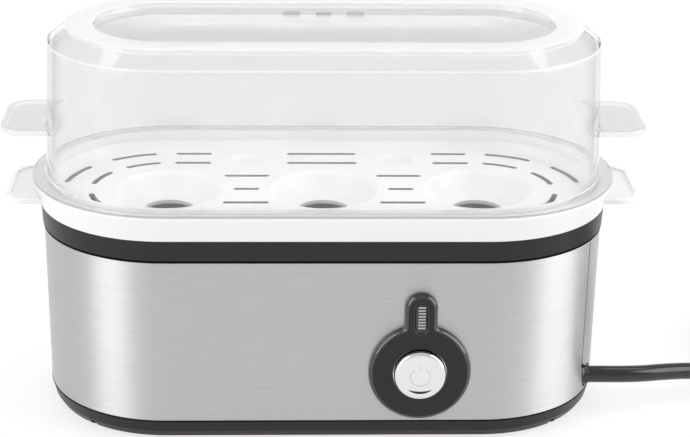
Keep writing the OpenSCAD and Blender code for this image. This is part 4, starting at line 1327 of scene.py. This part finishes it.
@dataclass
class EggTray:
    """The white tray: a flared rim, a slotted floor and three wells with open bottoms."""

    half: float = 58.0
    foot_r: float = 47.5
    foot_z: float = 79.7
    rim_r: float = 50.3
    rim_z: float = 89.4
    rim_in: float = 45.2
    floor_z: float = 82.3
    floor_r: float = 41.2
    wall: float = 1.8
    edge: float = 0.25
    well_r: float = 19.2
    well_lip: float = 2.2
    well_depth: float = 8.0
    well_steps: int = 64
    hole_r: float = 9.5
    slot: float = 2.0
    row_from_well: float = 9.8
    row_from_rim: float = 5.6
    pair_y: float = 14.4
    pair_length: float = 17.0
    lone_length: float = 9.6
    corner_in: float = 8.0
    corner_length: float = 14.0
    side_length: float = 27.0
    # First and last angle of each bent slot, in degrees from the Y axis
    bends: tuple[tuple[float, float], ...] = ((11.0, 35.0), (53.0, 78.0))
    skirt_r: float = 43.2
    skirt_drop: float = 2.4
    dimple_r: float = 7.4
    dimple_y: float = 33.3
    dimple_steps: int = 48
    ear: Ear = field(default_factory=lambda: Ear(117.5, 47.6, 83.1))

    def wells_x(self) -> tuple[float, float, float]:
        """Gives the place of each well along the tray."""
        return -self.half, 0.0, self.half

    def dimples_x(self) -> tuple[float, float]:
        """Gives the place of each dimple along the tray, between the wells."""
        return -self.half / 2, self.half / 2

    def slots(self) -> list[Outline]:
        """Draws the steam slots: level ones between and beside the wells, and bent ones at the ends.

        Returns:
            The slots' outlines.
        """
        rows = (self.well_r + self.row_from_well, self.rim_in - self.row_from_rim)
        # X, Y and length of each level slot
        level: list[Point] = []
        for sx in (-1, 1):
            for sy in (-1, 1):
                level.append((sx * self.half / 2, sy * self.pair_y, self.pair_length))
                level += [(sx * (self.half - self.corner_in), sy * y, self.corner_length) for y in rows]
            level.append((sx * self.half / 2, 0.0, self.lone_length))
        level += [(0.0, sy * y, self.side_length) for sy in (-1, 1) for y in rows]
        found = []
        for x, y, length in level:
            found.append([(x + u, y + v) for u, v in capsule(length, self.slot)])
        for sx in (-1, 1):
            for sy in (-1, 1):
                for r in rows:
                    found += [self.bent_slot(r, start, stop, sx, sy) for start, stop in self.bends]
        return found

    def bent_slot(self, r: float, start: float, stop: float, sx: int, sy: int) -> Outline:
        """Gives the outline of a slot on an arc about an end's axis.

        Args:
            r: Radius of its middle line.
            start: First angle in degrees, measured from the Y axis.
            stop: Last angle.
            sx: End of the tray, 1 right or -1 left.
            sy: Side of the tray, 1 back or -1 front.
        Returns:
            X and Y of each corner.
        """
        w = self.slot / 2
        first, last = 90.0 - stop, 90.0 - start
        (x0, y0), (x1, y1) = arc(0, 0, r, first, last, 1)
        outline = (
            arc(0, 0, r + w, first, last, 10)
            + arc(x1, y1, w, last, last + 180, 8)[1:-1]
            + arc(0, 0, r - w, last, first, 10)
            + arc(x0, y0, w, first + 180, first + 360, 8)[1:-1]
        )
        return [(sx * (self.half + x), sy * y) for x, y in outline]

    def well(self, x: float) -> BMesh:
        """Turns the upper skin of one egg well.

        Args:
            x: Where it lies along the tray.
        Returns:
            The open skin, from the floor to the edge of the hole.
        """
        r, d = self.well_r, self.well_depth
        section = [
            (r + self.well_lip, 0.0, 0.0),
            (r + 0.4, -0.1, 1.2),
            (r - 1.4, -2.8, 1.4),
            (r - 4.2, -d + 2.1, 1.6),
            (self.hole_r + 2.0, -d + 0.35, 1.0),
            (self.hole_r, -d, 0.0),
        ]
        bm = bmesh.new()
        wire(bm, section, segments=5)
        turn(bm, self.well_steps)
        bmesh.ops.translate(bm, vec=(x, 0, self.floor_z), verts=bm.verts)
        return bm

    def dimple(self, x: float) -> BMesh:
        """Turns the upper skin of one shallow dimple at the back of the floor.

        Args:
            x: Where it lies along the tray.
        Returns:
            The closed skin, whose edge lies in the floor.
        """
        r = self.dimple_r
        bm = bmesh.new()
        wire(bm, [(r, 0.0, 0.0), (r - 0.8, -0.1, 0.5), (r - 2.6, -1.5, 1.4), (0.0, -1.9, 0.0)])
        turn(bm, self.dimple_steps)
        bmesh.ops.translate(bm, vec=(x, self.dimple_y, self.floor_z), verts=bm.verts)
        return bm

    def fill_floor(self, bm: BMesh) -> None:
        """Fills the floor inside the rim, and leaves slots, wells and dimples open.

        Args:
            bm: The mesh, which holds the rim.
        """
        edges = []
        for edge in bm.edges:
            if edge.is_boundary and all(abs(v.co.z - self.floor_z) < 0.01 for v in edge.verts):
                edges.append(edge)
        openings = self.slots()
        openings += [circle(x, 0, self.well_r + self.well_lip, self.well_steps) for x in self.wells_x()]
        openings += [circle(x, self.dimple_y, self.dimple_r, self.dimple_steps) for x in self.dimples_x()]
        for outline in openings:
            edges += loop(bm, outline, self.floor_z)
        bmesh.ops.triangle_fill(bm, use_beauty=True, use_dissolve=False, edges=edges, normal=(0, 0, 1))

    def face_up(self, bm: BMesh) -> None:
        """Turns the open skin over if its floor faces down.

        Args:
            bm: The mesh, whose faces agree with each other.
        """
        up = 0.0
        for face in bm.faces:
            if abs(face.normal.z) > 0.99 and face.calc_center_median().z < self.floor_z + 0.1:
                up += face.normal.z * face.calc_area()
        if up < 0:
            bmesh.ops.reverse_faces(bm, faces=bm.faces)

    def build(self) -> Piece:
        """Carries the rim round, fills the floor, sinks the wells and gives the skin its thickness.

        Returns:
            The tray.
        """
        section = [
            (self.foot_r, self.foot_z, 0.0),
            (self.rim_r, self.rim_z, 1.3),
            (self.rim_in, self.rim_z, 1.0),
            (self.rim_in - 0.3, self.rim_z - 2.8, 1.6),
            (self.rim_in - 2.6, self.floor_z, 1.2),
            (self.floor_r, self.floor_z, 0.0),
        ]
        bm = bmesh.new()
        wire(bm, section, segments=5)
        carry_round(bm, self.half)
        self.fill_floor(bm)
        for x in self.wells_x():
            gather(bm, self.well(x))
        for x in self.dimples_x():
            gather(bm, self.dimple(x))
        weld(bm, 0.01)
        self.face_up(bm)
        tray = solid("white_tray", bm)
        shell = tray.modifiers.new("wall", "SOLIDIFY")
        shell.thickness = self.wall * MM
        shell.offset = -1.0
        shell.use_even_offset = True
        edge = tray.modifiers.new("edges", "BEVEL")
        edge.width = self.edge * MM
        edge.segments = 2
        edge.limit_method = "ANGLE"
        edge.angle_limit = math.radians(55)
        edge.use_clamp_overlap = False
        settle(tray)
        return tray

    def paint_slot_shade(self, tray: Piece, finish: Material) -> None:
        """Gives the walls of the steam slots a darker copy of the plastic, as painted shade.

        Args:
            tray: The finished tray.
            finish: The darker material of the painted shade.
        """
        tray.data.materials.append(finish)
        for face in tray.data.polygons:
            x, y, z = face.center / MM
            in_floor = self.floor_z - self.wall - 0.1 < z < self.floor_z - 0.05
            from_well = min(math.hypot(x - at, y) for at in self.wells_x())
            out = math.hypot(max(abs(x) - self.half, 0.0), y)
            between = from_well > self.well_r + 2.5 and out < self.floor_r - 0.2
            if in_floor and between and abs(face.normal.z) < 0.5:
                face.material_index = 1

    def skirt(self) -> Piece:
        """Makes the skirt under the tray that drops into the collar, and the two grips.

        Returns:
            Skirt and grips as one piece.
        """
        low, high = self.foot_z - self.skirt_drop, self.floor_z - self.wall + 0.2
        outer, inner = self.skirt_r, self.skirt_r - self.wall
        bm = bmesh.new()
        section = [(outer, low, 0.3), (outer, high, 0.0), (inner, high, 0.0), (inner, low, 0.3)]
        wire(bm, section, closed=True)
        carry_round(bm, self.half)
        for side in (1, -1):
            grip = self.ear.build(side)
            added = bmesh.new()
            added.from_mesh(grip.data)
            bmesh.ops.scale(added, vec=(1 / MM, 1 / MM, 1 / MM), verts=added.verts)
            gather(bm, added)
            bpy.data.objects.remove(grip)
        return solid("tray_skirt_and_grips", bm)

    def assemble(self, finishes: Finishes) -> list[Piece]:
        """Makes and dresses the tray, and its skirt with the grips.

        Args:
            finishes: The finishes of all pieces.
        Returns:
            The two pieces.
        """
        slot = "tray_plastic"
        tray = finishes.dress(self.build(), Body.TRAY, slot, ("egg_tray",))
        # The slot walls get painted shade
        self.paint_slot_shade(tray, finishes.slots)
        skirt = finishes.dress(self.skirt(), Body.TRAY, slot)
        return [tray, skirt]


@dataclass
class ControlPanel:
    """The bezel with its tab, the window of the lamp and the push button, in the panel's own frame."""

    at: Point = (34.4, -46.1928, 28.7)
    lean_deg: float = 0.5363
    bezel_r: float = 18.7
    thick: float = 2.8
    bevel: float = 1.9
    mouth_bevel: float = 0.35
    tab_half: float = 6.0
    tab_up: float = 25.2
    fillet: float = 1.4
    button_r: float = 9.5
    gap: float = 0.3
    proud: float = 2.6
    collar: float = 1.0
    lens_w: float = 4.2
    lens_h: float = 11.5
    lens_up: float = 21.8
    lens_deep: float = 3.5
    ridge_count: int = 8
    ridge_pitch: float = 1.15
    ridge: float = 0.55
    mark_r: float = 3.8
    mark_line: float = 0.35
    mark_deep: float = 0.24
    # Size and place of the dark crescent on the cap, a painted reflection
    painted_reflection_r: float = 6.8
    painted_reflection_half_deg: float = 39.0
    painted_reflection_up: float = 10.64
    painted_reflection_deep: float = 0.5

    def place(self) -> Matrix:
        """Gives the panel's frame: X right, Y up, Z out of the steel."""
        return Matrix.Translation(self.at) @ Matrix.Rotation(math.radians(90 + self.lean_deg), 4, "X")

    def crown(self) -> float:
        """Gives the height of the button's face over the steel."""
        return self.thick + self.proud

    def outline(self) -> Outline:
        """Draws the bezel: a disc that runs in small fillets into the tab.

        Returns:
            X and Y of each corner.
        """
        f = self.fillet
        cx = self.tab_half + f
        cy = math.sqrt((self.bezel_r + f) ** 2 - cx**2)
        meet = math.degrees(math.atan2(cy, cx))
        return (
            arc(0, 0, self.bezel_r, 180 - meet, 360 + meet, 96)
            + arc(cx, cy, f, 180 + meet, 180, 6)[1:]
            + arc(0, self.tab_up, self.tab_half, 0, 180, 28)
            + arc(-cx, cy, f, 0, -meet, 6)[:-1]
        )

    def window(self, wider: float) -> Outline:
        """Gives the outline of the lamp's window, longer and wider by a given width."""
        upright = capsule(self.lens_h + wider, self.lens_w + wider)
        return [(-y, x + self.lens_up) for x, y in upright]

    def bezel(self) -> Piece:
        """Fills the face between its outline and openings, raises it and rounds its rim.

        Returns:
            The bezel.
        """
        bm = bmesh.new()
        edges = loop(bm, self.outline())
        edges += loop(bm, circle(0, 0, self.button_r + self.gap, 72))
        edges += loop(bm, self.window(0.3))
        bmesh.ops.triangle_fill(bm, use_beauty=True, use_dissolve=False, edges=edges, normal=(0, 0, 1))
        top = set(lift(bm, bm.faces[:], self.thick))
        upper = [e for e in bm.edges if all(v in top for v in e.verts) and len(e.link_faces) == 2]
        crest = [e for e in upper if e.calc_face_angle(0) > 1.0]
        openings = [e for e in crest if self.inside(e)]
        rim = [e for e in crest if not self.inside(e)]
        round_off(bm, rim, self.bevel, 6, clamp=False)
        round_off(bm, openings, self.mouth_bevel, 3, clamp=False)
        return solid("bezel_plate", bm, self.place())

    def inside(self, edge: Edge) -> bool:
        """Tells whether an edge belongs to one of the bezel's openings.

        Args:
            edge: An edge of the bezel.
        Returns:
            True for the button's mouth and the lamp's window.
        """
        x, y, _ = (edge.verts[0].co + edge.verts[1].co) / 2
        mouth = math.hypot(x, y) < self.button_r + 1.0
        window = abs(x) < self.lens_w / 2 + 0.5 and abs(y - self.lens_up) < self.lens_h / 2 + 0.5
        return mouth or window

    def polish(self, plate: Piece, finish: Material) -> None:
        """Gives the rounded edges of the bezel their own gloss.

        Args:
            plate: The finished bezel.
            finish: The glossy material.
        """
        plate.data.materials.append(finish)
        out = self.place().to_3x3() @ Vector((0, 0, 1))
        for face in plate.data.polygons:
            if face.normal.dot(out) < 0.97:
                face.material_index = 1

    def lens(self) -> Piece:
        """Makes the lamp's window, a rounded bar in its slot.

        Returns:
            The window.
        """
        bm = bmesh.new()
        prism(bm, self.window(0.0), -self.lens_deep, self.lens_deep + self.thick - 0.2)
        soften(bm, 0.25, 2)
        return solid("lamp_window", bm, self.place())

    def ridges(self) -> Piece:
        """Makes the level ridges on the window.

        Returns:
            All ridges as one piece.
        """
        bm = bmesh.new()
        first = self.lens_up + self.lens_h / 2 - 1.2
        for i in range(self.ridge_count):
            bar = bmesh.ops.create_cube(bm, size=1.0)["verts"]
            bmesh.ops.scale(bm, vec=(self.lens_w - 1.5, self.ridge, 0.8), verts=bar)
            bmesh.ops.translate(bm, vec=(0.15, first - i * self.ridge_pitch, self.thick - 0.1), verts=bar)
        soften(bm, 0.12, 2)
        return solid("window_ridges", bm, self.place())

    def button(self) -> Piece:
        """Turns the slightly domed cap with its collar.

        Returns:
            The cap.
        """
        top, r, wide = self.crown(), self.button_r, self.button_r + self.collar
        section = [
            (0.0, -1.6, 0.0),
            (wide, -1.6, 0.2),
            (wide, 0.5, 0.2),
            (r, 0.5, 0.0),
            (r, top - 0.9, 0.7),
            (r - 0.9, top - 0.25, 0.7),
            (r - 4.0, top, 1.5),
            (0.0, top + 0.15, 0.0),
        ]
        bm = bmesh.new()
        wire(bm, section, segments=5)
        turn(bm, 96)
        return solid("push_button", bm, self.place())

    def symbol(self) -> Piece:
        """Draws the raised stand-by mark on the cap: an open ring and a bar.

        Returns:
            The mark.
        """
        low = self.crown() - 0.15
        begin, end = 125, 415
        bar, foot, head = 0.18, 1.6, 4.6
        inner = self.mark_r - self.mark_line
        bm = bmesh.new()
        ring = arc(0, 0, self.mark_r, begin, end, 40) + arc(0, 0, inner, end, begin, 40)
        prism(bm, ring, low, self.mark_deep)
        prism(bm, [(-bar, foot), (bar, foot), (bar, head), (-bar, head)], low, self.mark_deep)
        return solid("standby_mark", bm, self.place())

    def painted_reflection(self) -> Piece:
        """Draws the dark curved line low on the cap, a painted reflection, between a wide arc and a flatter
        one.

        Returns:
            The line.
        """
        down, steps = 270.0, 24
        lower = arc(0, 0, self.painted_reflection_r, down - self.painted_reflection_half_deg, down + self.painted_reflection_half_deg, steps)
        x, y = lower[-1]
        flatter = math.hypot(x, y - self.painted_reflection_up)
        lean = math.degrees(math.atan2(x, self.painted_reflection_up - y))
        upper = arc(0, self.painted_reflection_up, flatter, down + lean, down - lean, steps)[1:-1]
        bm = bmesh.new()
        prism(bm, lower + upper, self.crown() - self.painted_reflection_deep, self.painted_reflection_deep)
        return solid("cap_painted_reflection", bm, self.place())

    def assemble(self, finishes: Finishes) -> list[Piece]:
        """Makes and dresses bezel, window and button.

        Args:
            finishes: The finishes of all pieces.
        Returns:
            The pieces.
        """
        dress = finishes.dress
        base, cap = Body.BASE, Body.BUTTON
        plate = dress(self.bezel(), base, "dark_plastic", ("control_bezel",), angle=50.0)
        self.polish(plate, finishes.polished)
        return [
            plate,
            dress(self.lens(), base, "lens_plastic", ("indicator_lens",)),
            # The ridges are drawn pale, as a painted glint
            dress(self.ridges(), base, "lens_plastic", finish=finishes.ridges),
            dress(self.button(), cap, "button_chrome", ("button_cap",)),
            dress(self.symbol(), cap, "button_chrome", finish=finishes.mark),
            # A dark crescent of painted reflection on the cap
            dress(self.painted_reflection(), cap, "button_chrome", finish=finishes.painted_reflection),
        ]


@dataclass
class PaintedShadowGaps:
    """Thin dark rings of painted shadow where the steel sleeve meets the collar above it and the base below
    it.
    """

    half: float = 58.0
    collar_z: float = 72.2
    collar_r: float = 46.95
    collar_painted_gap_shadow: float = 1.0
    base_z: float = 8.1
    base_r: float = 46.12
    base_painted_gap_shadow: float = 0.45
    overlap: float = 0.1
    depth: float = 0.4

    def build(self) -> Piece:
        """Carries the two sections round the body.

        Returns:
            Both seals as one piece.
        """
        bm = bmesh.new()
        for r, low, high in (
            (self.collar_r, self.collar_z - self.collar_painted_gap_shadow, self.collar_z),
            (self.base_r, self.base_z - self.overlap, self.base_z + self.base_painted_gap_shadow),
        ):
            inner = r - self.depth
            section = [(r, low, 0.1), (r, high, 0.0), (inner, high, 0.0), (inner, low, 0.0)]
            wire(bm, section, closed=True)
        carry_round(bm, self.half)
        return solid("painted_shadow_gaps", bm)

    def assemble(self, finishes: Finishes) -> list[Piece]:
        """Makes and dresses the rings of painted shadow."""
        return [finishes.dress(self.build(), Body.BASE, "foot_rubber", finish=finishes.painted_gap_shadow)]


def main() -> None:
    """Builds the scene, sub-assembly by sub-assembly."""
    logging.basicConfig(level=logging.INFO, format="%(name)s: %(message)s")
    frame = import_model()
    studio = Studio()
    studio.camera()
    finishes = Finishes()

    pieces = MainsCord().assemble(finishes, frame["nodes"]["plug_earth"])
    for assembly in (CordGuard(), Lid(), EggTray(), ControlPanel(), PaintedShadowGaps()):
        pieces += assembly.assemble(finishes)
    for piece in pieces:
        LOG.info("%s is made of %s", piece.name, piece.data.materials[0].name)

    finishes.coat_frame(frame)
    studio.floor()
    studio.light()


if __name__ == "__main__":
    main()
